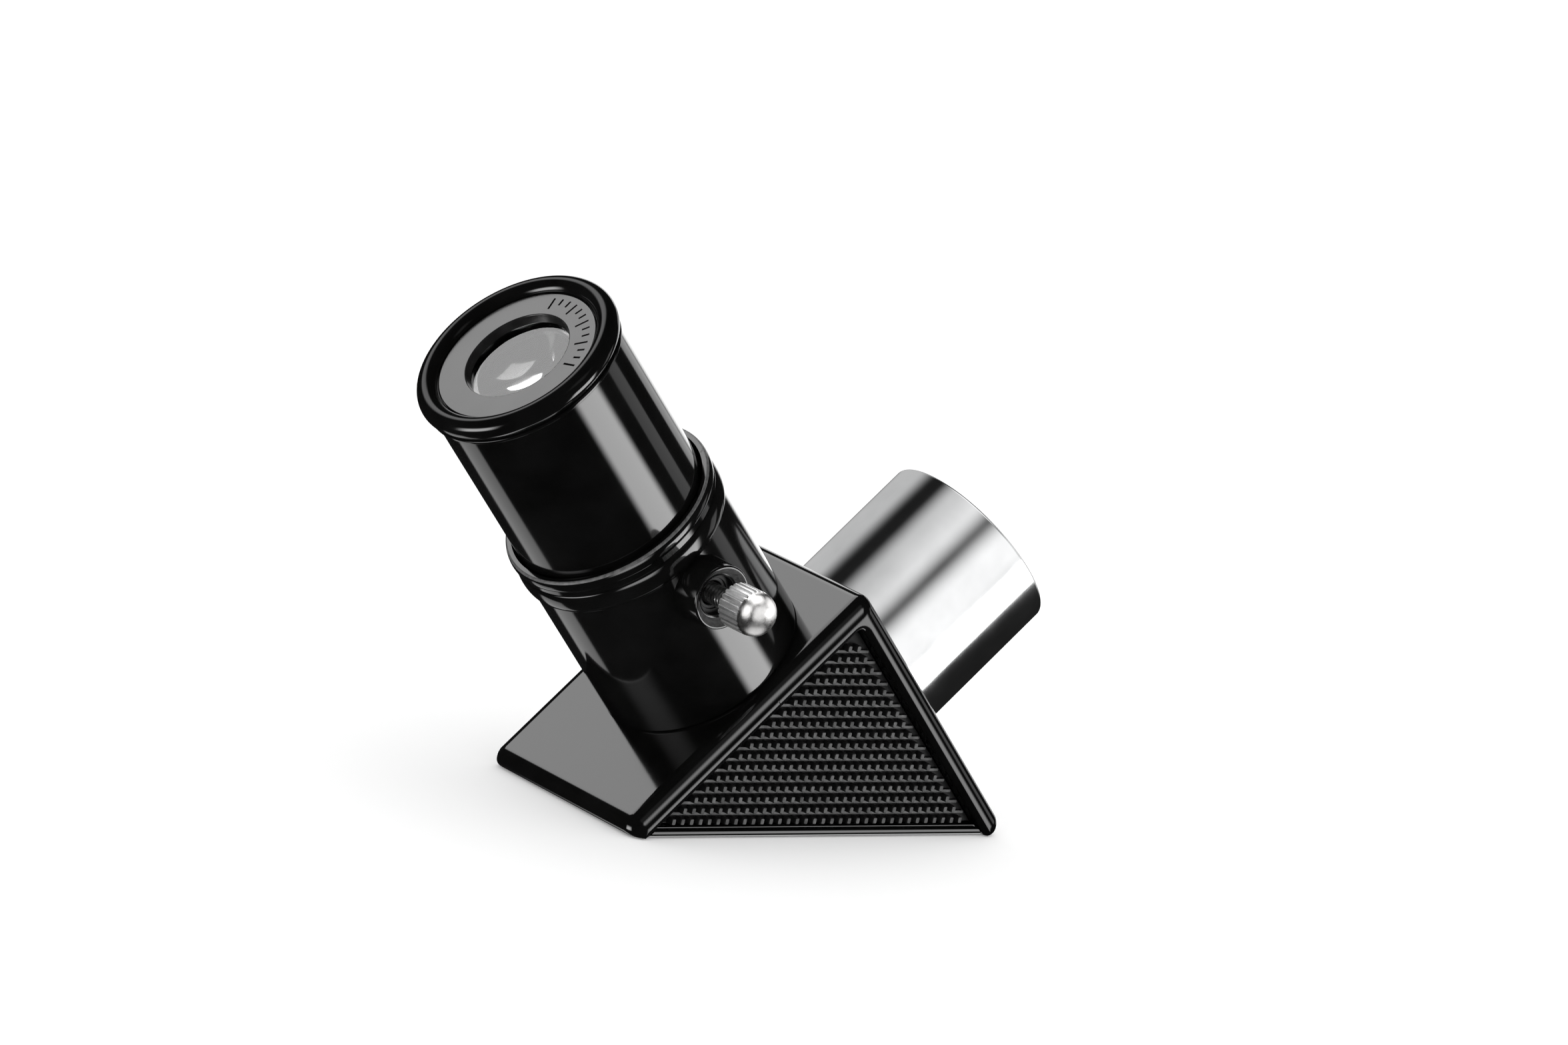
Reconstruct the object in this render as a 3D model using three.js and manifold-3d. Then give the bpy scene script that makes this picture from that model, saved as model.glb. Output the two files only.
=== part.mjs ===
// Star diagonal in the 1.25 inch format, with its eyepiece clamped in the holder. Millimetres, +Z up.
// The origin is the centre of the rear cover's outer face, which is the surface that the part stands on.
// The prism housing's right-angled edge is at the top and runs along Y. The sight face, with the
// eyepiece holder, slopes down towards -X, and the telescope face, with the nosepiece, towards +X.
// The clamp's thumb screw points to -Y.
import * as THREE from 'three';
import { mergeVertices } from 'three/addons/utils/BufferGeometryUtils.js';
import Module from 'manifold-3d';

const wasm = await Module();
wasm.setup();

// Format
const BARREL_R = 15.85; // eyepiece barrel and nosepiece, 31.7 mm across
const SEAM = 0.25; // air left where one piece seats on another inside a turned group
const ROUND_SIDES = 48; // sides of the large round pieces
const BOSS_SIDES = 32;
const SMALL_SIDES = 18; // sides of screws

// Prism housing
const APEX_HEIGHT = 40.2; // where the two faces' planes meet, above the rear cover's outer face
const BASE_HALF = 37.6; // half the housing's length
const HOUSING_WIDTH = 38.6;
const HOUSING_HALF = HOUSING_WIDTH / 2;
const FACE_WALL = 2.4;
const CAVITY_HALF = 15; // half the width between the inner side walls
const CAVITY_END = 29.6; // half the cavity's length at the rear opening
const EDGE_ROUND = 1.7; // rounding of the long outer edges
const APEX_ROUND = 2.1;
const END_ROUND = 3;
const SIDE_BEAD = 4.1; // width of the raised frame along each leg of a side
const RECESS_FLOOR = 16.2; // the side recess's floor, from the middle plane
const RECESS_ROUND = 1.2;
const PANEL_TOP = 18.1; // the grip panel's outer surface, from the middle plane
const RIB_PITCH = 1.77;

// Optical axes: both tubes are centred this far down their face from the apex
const TUBE_FROM_APEX = 22.6;
const LIGHT_R = 14.2;
const MIRROR_HEIGHT = APEX_HEIGHT - TUBE_FROM_APEX * Math.SQRT2; // the axes cross on the mirror's face

// Rear cover
const COVER_HALF = 34;
const COVER_WIDTH_HALF = 18.6;
const COVER_THICKNESS = 1.5;
const COVER_PLUG = [25, 14.7, 2.5]; // half length, half width and top of the locating pad
const RABBET = [17.9, 0.85]; // distance from the middle plane and height of the step along its long edges
const SCREW_CONE = 1.25; // top of the countersunk head
const SCREW_X = 27.4;
const SCREW_Y = 12.9;
const SCREW_SHANK_R = 1.1;
const SCREW_HEAD_R = 2.3;
const SCREW_LENGTH = 7;

// Mirror and its pad
const MIRROR_HALF = [22.5, 14.6];
const MIRROR_THICKNESS = 3;
const PAD_HALF = [21, 13.5];
const LEDGE_HALF = 21;
const LEDGE_INNER = 13.4;
const REST_GAP = 0.1; // air between pieces that rest on each other squarely

// Eyepiece holder, heights above the sight face
const HOLDER_R = 16.8;
const HOLDER_HEIGHT = 34.4;
const HOLDER_BORE_R = 16;
const SPIGOT_DEPTH = 2.8;
const HOLDER_SPIGOT_R = 15.9;
const STOP_HEIGHT = 9; // shoulder that the eyepiece comes to rest on
const RING_R = 17.5; // crest of the mouth's bead and rim
const GROOVE_R = 17.05;
const BEAD_MIDDLE = 30;
const BEAD_HALF = 1.3;
const RIM_FOOT = 32.2;
const RIM_MIDDLE = 33.2;
const MOUTH_FACE_R = 16.95; // outer edge of the mouth's flat face
const MOUTH_BEVEL = [0.3, 0.5]; // width and depth

// Clamp screw, distances out from the holder's axis
const CLAMP_HEIGHT = 22;
const BOSS_TOP = 21.5;
const BOSS_R = 5.15;
const BOSS_BASE_R = 5.5;
const STUD_SEAT = 18.8; // floor of the boss's counterbore
const COUNTERBORE_R = 3.2;
const CONE_FOOT = 20.3;
const CONE_R = [3.6, 4.7]; // at its foot and at the boss's top
const STUD_R = 1.75;
const STUD_PITCH = 0.7;
const STUD_TIP = 16.1;
const KNOB_START = 25.1;
const KNOB_SHOULDER = 30.2;
const KNOB_END = 32.8;
const KNOB_R = 3.6;
const KNOB_SOCKET_END = 28.9;
const FLUTES = 24;

// Nosepiece
const NOSE_LENGTH = 27;
const NOSE_SPIGOT_R = 15.2;
const NOSE_SEAT_R = 16.1; // shallow seat in the telescope face, round the nosepiece's foot

// Eyepiece, heights above the sight face
const EYEPIECE_FOOT = STOP_HEIGHT + 0.3;
const LIP_HEIGHT = 66.3; // middle of the round lip
const LIP_CENTRE_R = 15.15;
const LIP_SECTION_R = 1.75;
const FACE_HEIGHT = 66.7; // the cap's flat outer face
const CAP_R = 13.2;
const CAP_SEAT = 65.2;
const EYE_LENS_SEAT = 63.2;
const SIGHT_HOLE_R = 8.75;
const EYE_LENS_R = 9.4;
const WEB_FOOT = 60.3; // underside of the web that carries the eye lens
const BARREL_BORE_R = 14.9;
const TRAIN_R = 14.7; // spacers, stop and retainer inside the barrel
const SPACER_BORE_R = 13.9;
const FIELD_STOP_R = 7.5;
const FIELD_LENS_R = 14.5;
const RETAINER_BORE_R = 13;
const UPPER_SPACER_FOOT = 50.2;
const STOP_FOOT = 49.2;
const LOWER_SPACER_FOOT = 39.2;
const FIELD_LENS_FOOT = 36.4;
const RETAINER_FOOT = 33.6;

// ---- geometry helpers ---------------------------------------------------------------------------

// Corners are [x, y] or [x, y, radius]. Returns the outline's points, with each radius as an arc.
function rounded(corners, steps = 4) {
  const points = [];
  corners.forEach(([x, y, radius = 0], i) => {
    const corner = new THREE.Vector2(x, y);
    if (radius === 0) {
      points.push(corner);
      return;
    }
    const before = corners[(i + corners.length - 1) % corners.length];
    const after = corners[(i + 1) % corners.length];
    const back = new THREE.Vector2(before[0] - x, before[1] - y).normalize();
    const ahead = new THREE.Vector2(after[0] - x, after[1] - y).normalize();
    const half = Math.acos(back.dot(ahead)) / 2;
    const inward = back.clone().add(ahead).normalize();
    const centre = corner.clone().addScaledVector(inward, radius / Math.sin(half));
    const sweep = Math.PI - 2 * half;
    const side = Math.sign(back.cross(ahead));
    const start = corner.clone().addScaledVector(back, radius / Math.tan(half)).sub(centre);
    for (let step = 0; step <= steps; step += 1) {
      const turned = start.clone().rotateAround(new THREE.Vector2(), side * -sweep * (step / steps));
      points.push(turned.add(centre));
    }
  });
  return points;
}

// Points of a shallow dome from its edge at [r, z] to its top on the axis, height above z.
function domeArc(r, z, height, steps = 4) {
  const sphere = (r * r + height * height) / (2 * height);
  const spread = Math.asin(r / Math.abs(sphere));
  return Array.from({ length: steps + 1 }, (_, step) => {
    const angle = spread * (1 - step / steps);
    return [step === steps ? 0 : Math.abs(sphere) * Math.sin(angle),
      z + height - sphere + sphere * Math.cos(angle)];
  });
}

// Points of an ellipse about centre, with its half axes given, from one quarter turn to another.
function bulge([r, z], [across, along], from, to, steps) {
  return Array.from({ length: steps + 1 }, (_, step) => {
    const angle = (from + (to - from) * step / steps) * Math.PI / 2;
    return [r + across * Math.cos(angle), z + along * Math.sin(angle)];
  });
}

// The same mesh with shared vertices, no collapsed triangles, and its faces pointing out.
function closed(geometry) {
  const bare = geometry.clone();
  bare.deleteAttribute('normal');
  bare.deleteAttribute('uv');
  const shared = mergeVertices(bare);
  const index = shared.index.array;
  const position = shared.attributes.position;
  const [a, b, c] = [new THREE.Vector3(), new THREE.Vector3(), new THREE.Vector3()];
  const kept = [];
  let volume = 0;
  for (let i = 0; i < index.length; i += 3) {
    const [p, q, r] = index.slice(i, i + 3);
    if (p !== q && q !== r && r !== p) {
      kept.push(p, q, r);
      a.fromBufferAttribute(position, p);
      b.fromBufferAttribute(position, q);
      c.fromBufferAttribute(position, r);
      volume += a.dot(b.cross(c));
    }
  }
  shared.setIndex(volume > 0 ? kept : kept.reverse());
  return shared;
}

function solid(geometry) {
  const mesh = closed(geometry);
  return new wasm.Manifold(new wasm.Mesh({
    numProp: 3,
    vertProperties: new Float32Array(mesh.attributes.position.array),
    triVerts: new Uint32Array(mesh.index.array),
  }));
}

function geometryOf(manifold) {
  const { vertProperties, triVerts } = manifold.getMesh();
  const geometry = new THREE.BufferGeometry();
  geometry.setAttribute('position', new THREE.BufferAttribute(new Float32Array(vertProperties), 3));
  geometry.setIndex(new THREE.BufferAttribute(new Uint32Array(triVerts), 1));
  return geometry;
}

// A solid of revolution about Z. The profile's corners are [r, z] or [r, z, radius].
function revolved(corners, sides = ROUND_SIDES) {
  const points = rounded(corners, 2);
  points.push(points[0].clone());
  return new THREE.LatheGeometry(points, sides).rotateX(Math.PI / 2);
}

function ring(innerR, outerR, low, high) {
  return revolved([[innerR, low], [outerR, low], [outerR, high], [innerR, high]]);
}

function rod(r, low, high, sides = ROUND_SIDES) {
  return revolved([[0, low], [r, low], [r, high], [0, high]], sides);
}

// A box from its lowest to its highest corner.
function block([x0, y0, z0], [x1, y1, z1]) {
  return new THREE.BoxGeometry(x1 - x0, y1 - y0, z1 - z0)
    .translate((x0 + x1) / 2, (y0 + y1) / 2, (z0 + z1) / 2);
}

// An outline in the XZ plane, extruded along Y from low to high.
function sideways(corners, low, high) {
  return new THREE.ExtrudeGeometry(new THREE.Shape(rounded(corners)), {
    depth: high - low,
    bevelEnabled: false,
  }).rotateX(Math.PI / 2).translate(0, high, 0);
}

// Places a turned group's geometry in the part's frame, for cuts in the housing.
function placed(geometry, group) {
  group.updateMatrix();
  return geometry.applyMatrix4(group.matrix);
}

// ---- materials ----------------------------------------------------------------------------------

function material(color, roughness, metalness = 0, extra = {}) {
  return new THREE.MeshStandardMaterial({ color, roughness, metalness, ...extra });
}

const glossBlack = () => material(0x0b0b0c, 0.08);
const satinBlack = () => material(0x1c1c1e, 0.4);
const matteBlack = () => material(0x161617, 0.75);
const nickel = () => material(0xc9c8c4, 0.22, 1);
const chrome = () => material(0xdcdddf, 0.05, 1);
const blackSteel = () => material(0x202022, 0.35, 0.8);
const silvered = () => material(0xe8ecef, 0.02, 1);
const foam = () => material(0x3a3a3c, 0.95);
const glass = () => material(0xdfe8ea, 0.02, 0, { transparent: true, opacity: 0.35 });

// ---- scene graph --------------------------------------------------------------------------------

const starDiagonal = new THREE.Group();

// Both tube groups have Z out along the tube and X along the face, towards or away from the apex.
function faceGroup(direction) {
  const group = new THREE.Group();
  const along = TUBE_FROM_APEX * Math.SQRT1_2;
  group.position.set(direction * along, 0, APEX_HEIGHT - along);
  group.rotation.y = direction * Math.PI / 4;
  starDiagonal.add(group);
  return group;
}

const sightTube = faceGroup(-1);
const telescopeTube = faceGroup(1);
const clampScrew = new THREE.Group();
clampScrew.position.z = CLAMP_HEIGHT;
clampScrew.rotation.x = Math.PI / 2;
sightTube.add(clampScrew);

function addPiece(group, name, geometry, finish) {
  const mesh = new THREE.Mesh(closed(geometry), finish);
  mesh.name = name;
  group.add(mesh);
  return mesh;
}

// ---- prism housing ------------------------------------------------------------------------------

// The block before it is hollowed: it starts below the base, so that trimming leaves a sharp rim.
function housingBlock() {
  const below = 3;
  const endHeight = APEX_HEIGHT - BASE_HALF;
  const outline = rounded([
    [BASE_HALF, -below],
    [BASE_HALF, endHeight, END_ROUND],
    [0, APEX_HEIGHT, APEX_ROUND],
    [-BASE_HALF, endHeight, END_ROUND],
    [-BASE_HALF, -below],
  ]);
  const depth = HOUSING_WIDTH - 2 * EDGE_ROUND;
  const body = new THREE.ExtrudeGeometry(new THREE.Shape(outline), {
    depth,
    bevelThickness: EDGE_ROUND,
    bevelSize: EDGE_ROUND,
    bevelOffset: -EDGE_ROUND,
    bevelSegments: 4,
  }).rotateX(Math.PI / 2).translate(0, depth / 2, 0);
  const reach = APEX_HEIGHT + HOUSING_WIDTH;
  return solid(body).subtract(solid(block([-reach, -reach, -reach], [reach, reach, 0])));
}

// The hollow, less the mirror ledges and the four screw posts that stand in it.
function housingCavity(rim) {
  const innerApex = APEX_HEIGHT - FACE_WALL * Math.SQRT2;
  let cavity = solid(sideways([
    [CAVITY_END, -1],
    [CAVITY_END, innerApex - CAVITY_END],
    [0, innerApex],
    [-CAVITY_END, innerApex - CAVITY_END],
    [-CAVITY_END, -1],
  ], -CAVITY_HALF, CAVITY_HALF));
  const ledgeFoot = MIRROR_HEIGHT + REST_GAP;
  for (const side of [-1, 1]) {
    const [near, far] = [side * LEDGE_INNER, side * (CAVITY_HALF + 1)].sort((p, q) => p - q);
    cavity = cavity.subtract(solid(block([-LEDGE_HALF, near, ledgeFoot], [LEDGE_HALF, far, ledgeFoot + 2])));
    for (const end of [-1, 1]) {
      const post = rod(SCREW_HEAD_R + 0.1, rim, APEX_HEIGHT / 2, SMALL_SIDES)
        .translate(end * SCREW_X, side * SCREW_Y, 0);
      cavity = cavity.subtract(solid(post));
    }
  }
  return cavity;
}

function prismHousing() {
  const rim = COVER_THICKNESS + REST_GAP;
  const recessApex = APEX_HEIGHT - SIDE_BEAD * Math.SQRT2;
  const beyond = HOUSING_HALF + 1;
  let housing = housingBlock().subtract(housingCavity(rim));
  const coverPocket = block([-COVER_HALF - 0.2, -RECESS_FLOOR, -1], [COVER_HALF + 0.2, RECESS_FLOOR, rim]);
  housing = housing.subtract(solid(coverPocket));
  for (const [low, high] of [[-beyond, -RECESS_FLOOR], [RECESS_FLOOR, beyond]]) {
    const outline = [[recessApex + 1, -1], [0, recessApex, RECESS_ROUND], [-recessApex - 1, -1]];
    housing = housing.subtract(solid(sideways(outline, low, high)));
  }
  const tubeHoles = [
    [sightTube, HOLDER_SPIGOT_R + SEAM, SPIGOT_DEPTH + SEAM],
    [telescopeTube, NOSE_SPIGOT_R + SEAM, SPIGOT_DEPTH + SEAM],
    [telescopeTube, NOSE_SEAT_R, SEAM],
  ];
  for (const [group, r, depth] of tubeHoles) {
    housing = housing.subtract(solid(placed(rod(r, -depth, 1), group)));
  }
  for (const x of [-SCREW_X, SCREW_X]) {
    for (const y of [-SCREW_Y, SCREW_Y]) {
      const pilot = rod(SCREW_SHANK_R + 0.15, 0, SCREW_LENGTH + 1, SMALL_SIDES).translate(x, y, 0);
      housing = housing.subtract(solid(pilot));
    }
  }
  return geometryOf(housing);
}

// ---- rear cover, mirror and grip panels ---------------------------------------------------------

// A plate let into the base, with a wing under each grip panel that fits between the ends of the legs.
function rearCover() {
  const [plugX, plugY, plugTop] = COVER_PLUG;
  const wingEnd = APEX_HEIGHT - (SIDE_BEAD + 0.2) * Math.SQRT2;
  const plateY = RECESS_FLOOR - 0.2;
  const triangle = [[wingEnd, 0], [0, wingEnd], [-wingEnd, 0]];
  const wings = solid(sideways(triangle, -COVER_WIDTH_HALF, COVER_WIDTH_HALF))
    .intersect(solid(block([-wingEnd, -wingEnd, -1], [wingEnd, wingEnd, COVER_THICKNESS])));
  let cover = wings
    .add(solid(block([-COVER_HALF, -plateY, 0], [COVER_HALF, plateY, COVER_THICKNESS])))
    .add(solid(block([-plugX, -plugY, COVER_THICKNESS / 2], [plugX, plugY, plugTop])));
  for (const side of [-1, 1]) {
    const [low, high] = [side * RABBET[0], side * (COVER_WIDTH_HALF + 1)].sort((p, q) => p - q);
    cover = cover.subtract(solid(block([-wingEnd, low, RABBET[1]], [wingEnd, high, 2])));
    for (const end of [-1, 1]) {
      const hole = revolved([[0, -1], [SCREW_HEAD_R + 0.2, -1], [SCREW_HEAD_R + 0.2, 0.05],
        [SCREW_SHANK_R + 0.3, SCREW_CONE], [SCREW_SHANK_R + 0.3, 3], [0, 3]], SMALL_SIDES);
      cover = cover.subtract(solid(hole.translate(end * SCREW_X, side * SCREW_Y, 0)));
    }
  }
  return geometryOf(cover);
}

// A countersunk, cross-recessed self-tapping screw, head down at the cover's outer face.
function coverScrew() {
  const headFace = 0.05;
  const screw = solid(revolved([[0, headFace], [SCREW_HEAD_R, headFace], [SCREW_SHANK_R, SCREW_CONE],
    [SCREW_SHANK_R, SCREW_LENGTH - 1], [0.3, SCREW_LENGTH], [0, SCREW_LENGTH]], SMALL_SIDES));
  const slotHalf = [1.2, 0.25];
  const recessTop = 0.75;
  return geometryOf(screw
    .subtract(solid(block([-slotHalf[0], -slotHalf[1], -1], [slotHalf[0], slotHalf[1], recessTop])))
    .subtract(solid(block([-slotHalf[1], -slotHalf[0], -1], [slotHalf[1], slotHalf[0], recessTop]))));
}

// A ribbed triangular panel that fills the side recess, with its ribs along X.
function gripPanel(side) {
  const base = RECESS_FLOOR + REST_GAP;
  const floor = base + 0.8;
  const foot = COVER_THICKNESS + 0.35;
  const apex = APEX_HEIGHT - (SIDE_BEAD + 0.2) * Math.SQRT2;
  const outline = [[apex - foot, foot], [0, apex, RECESS_ROUND], [foot - apex, foot]];
  let ribs = solid(block([-apex, base, 0], [apex, floor, apex]));
  for (let low = foot + 0.3; low < apex; low += RIB_PITCH) {
    ribs = ribs.add(solid(block([-apex, base, low], [apex, PANEL_TOP, low + RIB_PITCH * 0.6])));
  }
  const panel = geometryOf(ribs.intersect(solid(sideways(outline, base - 1, PANEL_TOP + 1))));
  return side < 0 ? panel.rotateZ(Math.PI) : panel;
}

// ---- eyepiece holder and clamp screw ------------------------------------------------------------

function eyepieceHolder() {
  const outside = solid(revolved([
    [0, -SPIGOT_DEPTH],
    [HOLDER_SPIGOT_R, -SPIGOT_DEPTH],
    [HOLDER_SPIGOT_R, SEAM],
    [HOLDER_R, SEAM],
    [HOLDER_R, BEAD_MIDDLE - BEAD_HALF - 0.3],
    ...bulge([GROOVE_R, BEAD_MIDDLE], [RING_R - GROOVE_R, BEAD_HALF], -1, 1, 8),
    ...bulge([GROOVE_R, RIM_MIDDLE], [RING_R - GROOVE_R, RIM_MIDDLE - RIM_FOOT], -1, 0, 3),
    ...bulge([MOUTH_FACE_R, RIM_MIDDLE], [RING_R - MOUTH_FACE_R, HOLDER_HEIGHT - RIM_MIDDLE], 0, 1, 4),
    [0, HOLDER_HEIGHT],
  ]));
  const bore = solid(revolved([
    [0, -SPIGOT_DEPTH - 1],
    [LIGHT_R, -SPIGOT_DEPTH - 1],
    [LIGHT_R, STOP_HEIGHT],
    [HOLDER_BORE_R, STOP_HEIGHT],
    [HOLDER_BORE_R, HOLDER_HEIGHT - MOUTH_BEVEL[1]],
    [HOLDER_BORE_R + MOUTH_BEVEL[0], HOLDER_HEIGHT],
    [HOLDER_BORE_R + MOUTH_BEVEL[0], HOLDER_HEIGHT + 1],
    [0, HOLDER_HEIGHT + 1],
  ]));
  const boss = solid(placed(revolved([
    [0, HOLDER_BORE_R - 2],
    [BOSS_BASE_R, HOLDER_BORE_R - 2],
    [BOSS_R, BOSS_TOP, 0.3],
    [0, BOSS_TOP],
  ], BOSS_SIDES), clampScrew));
  const counterbore = solid(placed(revolved([
    [0, HOLDER_BORE_R - 4],
    [STUD_R + SEAM, HOLDER_BORE_R - 4],
    [STUD_R + SEAM, STUD_SEAT],
    [COUNTERBORE_R, STUD_SEAT],
    [COUNTERBORE_R, CONE_FOOT],
    [CONE_R[0], CONE_FOOT],
    [CONE_R[1], BOSS_TOP],
    [CONE_R[1], BOSS_TOP + 1],
    [0, BOSS_TOP + 1],
  ], BOSS_SIDES), clampScrew));
  return geometryOf(outside.add(boss).subtract(bore).subtract(counterbore));
}

// A stud with ridges at the thread's pitch, from its tip to the end that the knob is pressed onto.
function thumbScrewStud() {
  const end = KNOB_SOCKET_END - 0.3;
  const corners = [[0, STUD_TIP], [STUD_R - 0.5, STUD_TIP]];
  for (let z = STUD_TIP + 0.5; z < KNOB_START; z += STUD_PITCH) {
    corners.push([STUD_R - 0.3, z], [STUD_R, z + STUD_PITCH / 2]);
  }
  corners.push([STUD_R - 0.3, end], [0, end]);
  return revolved(corners, SMALL_SIDES);
}

// A straight-knurled head with a domed end and a blind socket for the stud.
function thumbScrewKnob() {
  const outline = [];
  for (let flute = 0; flute < FLUTES; flute += 1) {
    for (const [share, r] of [[0, KNOB_R], [0.62, KNOB_R], [0.72, KNOB_R - 0.25], [0.9, KNOB_R - 0.25]]) {
      const angle = (flute + share) * 2 * Math.PI / FLUTES;
      outline.push(new THREE.Vector2(r * Math.cos(angle), r * Math.sin(angle)));
    }
  }
  const grip = new THREE.ExtrudeGeometry(new THREE.Shape(outline), {
    depth: KNOB_SHOULDER - KNOB_START,
    bevelEnabled: false,
  }).translate(0, 0, KNOB_START);
  const envelope = revolved([
    [0, KNOB_START],
    [KNOB_R, KNOB_START, 0.4],
    [KNOB_R, KNOB_SHOULDER + 0.2, 0.5],
    ...domeArc(KNOB_R - 0.25, KNOB_SHOULDER + 0.35, KNOB_END - KNOB_SHOULDER - 0.35),
  ], FLUTES);
  const dome = revolved([
    [0, KNOB_SHOULDER - 0.2],
    [KNOB_R, KNOB_SHOULDER - 0.2],
    [KNOB_R, KNOB_SHOULDER + 0.2],
    ...domeArc(KNOB_R - 0.1, KNOB_SHOULDER + 0.3, KNOB_END - KNOB_SHOULDER - 0.3),
  ], FLUTES);
  const socket = rod(STUD_R + 0.1, KNOB_START - 1, KNOB_SOCKET_END, SMALL_SIDES);
  return geometryOf(solid(grip).add(solid(dome)).intersect(solid(envelope)).subtract(solid(socket)));
}

// ---- nosepiece ----------------------------------------------------------------------------------

function nosepieceBarrel() {
  return revolved([
    [LIGHT_R, -SPIGOT_DEPTH],
    [NOSE_SPIGOT_R, -SPIGOT_DEPTH],
    [NOSE_SPIGOT_R, 0],
    [BARREL_R, 0],
    [BARREL_R, NOSE_LENGTH, 0.4],
    [LIGHT_R, NOSE_LENGTH],
  ]);
}

// ---- eyepiece -----------------------------------------------------------------------------------

// The round lip is a bulge on the barrel's rim, swept from its outer foot over to its inner slope.
function lipArc() {
  const from = -1.15;
  const to = 3.0;
  const steps = 9;
  return Array.from({ length: steps + 1 }, (_, step) => {
    const angle = from + (to - from) * step / steps;
    return [LIP_CENTRE_R + LIP_SECTION_R * Math.cos(angle), LIP_HEIGHT + LIP_SECTION_R * Math.sin(angle)];
  });
}

function eyepieceBarrel() {
  return revolved([
    [BARREL_BORE_R, EYEPIECE_FOOT],
    [BARREL_R, EYEPIECE_FOOT, 0.4],
    [BARREL_R, LIP_HEIGHT - 2.3],
    [BARREL_R + 0.55, LIP_HEIGHT - 2.2],
    [BARREL_R + 0.55, LIP_HEIGHT - 1.75],
    ...lipArc(),
    [CAP_R + 0.3, FACE_HEIGHT - 0.1],
    [CAP_R + 0.3, CAP_SEAT],
    [EYE_LENS_R + 0.2, CAP_SEAT],
    [EYE_LENS_R + 0.2, EYE_LENS_SEAT],
    [SIGHT_HOLE_R - 0.45, EYE_LENS_SEAT],
    [SIGHT_HOLE_R - 0.45, WEB_FOOT],
    [BARREL_BORE_R, WEB_FOOT],
  ]);
}

function eyepieceCap() {
  return revolved([
    [SIGHT_HOLE_R - 0.35, CAP_SEAT + REST_GAP],
    [CAP_R, CAP_SEAT + REST_GAP],
    [CAP_R, FACE_HEIGHT, 0.15],
    [SIGHT_HOLE_R, FACE_HEIGHT, 0.1],
  ]);
}

// A lens with a flat upper face, domed down by back inside the clear radius and flat where it is held.
function lens(r, foot, top, clear, back) {
  return revolved([...domeArc(clear, foot, -back).reverse(), [r, foot], [r, top], [0, top]], BOSS_SIDES);
}

// ---- assembly -----------------------------------------------------------------------------------

addPiece(starDiagonal, 'prism_housing', prismHousing(), glossBlack());
addPiece(starDiagonal, 'rear_cover', rearCover(), glossBlack());
let screwNumber = 1;
for (const x of [-SCREW_X, SCREW_X]) {
  for (const y of [-SCREW_Y, SCREW_Y]) {
    const screw = addPiece(starDiagonal, `rear_cover_screw_${screwNumber}`, coverScrew(), blackSteel());
    screw.position.set(x, y, 0);
    screwNumber += 1;
  }
}
const mirrorFoot = MIRROR_HEIGHT - MIRROR_THICKNESS;
addPiece(starDiagonal, 'mirror', block([-MIRROR_HALF[0], -MIRROR_HALF[1], mirrorFoot],
  [MIRROR_HALF[0], MIRROR_HALF[1], MIRROR_HEIGHT]), silvered());
addPiece(starDiagonal, 'mirror_pad', block([-PAD_HALF[0], -PAD_HALF[1], COVER_PLUG[2] + REST_GAP],
  [PAD_HALF[0], PAD_HALF[1], mirrorFoot - REST_GAP]), foam());
addPiece(starDiagonal, 'near_grip_panel', gripPanel(-1), matteBlack());
addPiece(starDiagonal, 'far_grip_panel', gripPanel(1), matteBlack());

addPiece(sightTube, 'eyepiece_holder', eyepieceHolder(), glossBlack());
addPiece(clampScrew, 'thumb_screw_stud', thumbScrewStud(), nickel());
addPiece(clampScrew, 'thumb_screw_knob', thumbScrewKnob(), nickel());
addPiece(telescopeTube, 'nosepiece_barrel', nosepieceBarrel(), chrome());

addPiece(sightTube, 'eyepiece_barrel', eyepieceBarrel(), glossBlack());
addPiece(sightTube, 'eyepiece_cap', eyepieceCap(), satinBlack());
const eyeLens = lens(EYE_LENS_R, EYE_LENS_SEAT + REST_GAP, CAP_SEAT, 8, 1.6);
addPiece(sightTube, 'eye_lens', eyeLens, glass());
const fieldLens = lens(FIELD_LENS_R, FIELD_LENS_FOOT, LOWER_SPACER_FOOT - REST_GAP, 12.8, 2.2);
addPiece(sightTube, 'field_lens', fieldLens, glass());
const barrelRings = [
  ['upper_lens_spacer', SPACER_BORE_R, UPPER_SPACER_FOOT, WEB_FOOT],
  ['field_stop', FIELD_STOP_R, STOP_FOOT, UPPER_SPACER_FOOT],
  ['lower_lens_spacer', SPACER_BORE_R, LOWER_SPACER_FOOT, STOP_FOOT],
  ['field_lens_retainer', RETAINER_BORE_R, RETAINER_FOOT, FIELD_LENS_FOOT],
];
for (const [name, bore, foot, above] of barrelRings) {
  addPiece(sightTube, name, ring(bore, TRAIN_R, foot, above - REST_GAP), matteBlack());
}

export default starDiagonal;
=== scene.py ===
"""Looks for the star diagonal: smooth meshes, procedural materials, soft studio light and the camera.

Shapes are drawn in millimetres in the same axes as the part, then scaled to metres as they are made.
"""
import math

import bmesh
import bpy
from mathutils import Matrix, Vector


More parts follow.
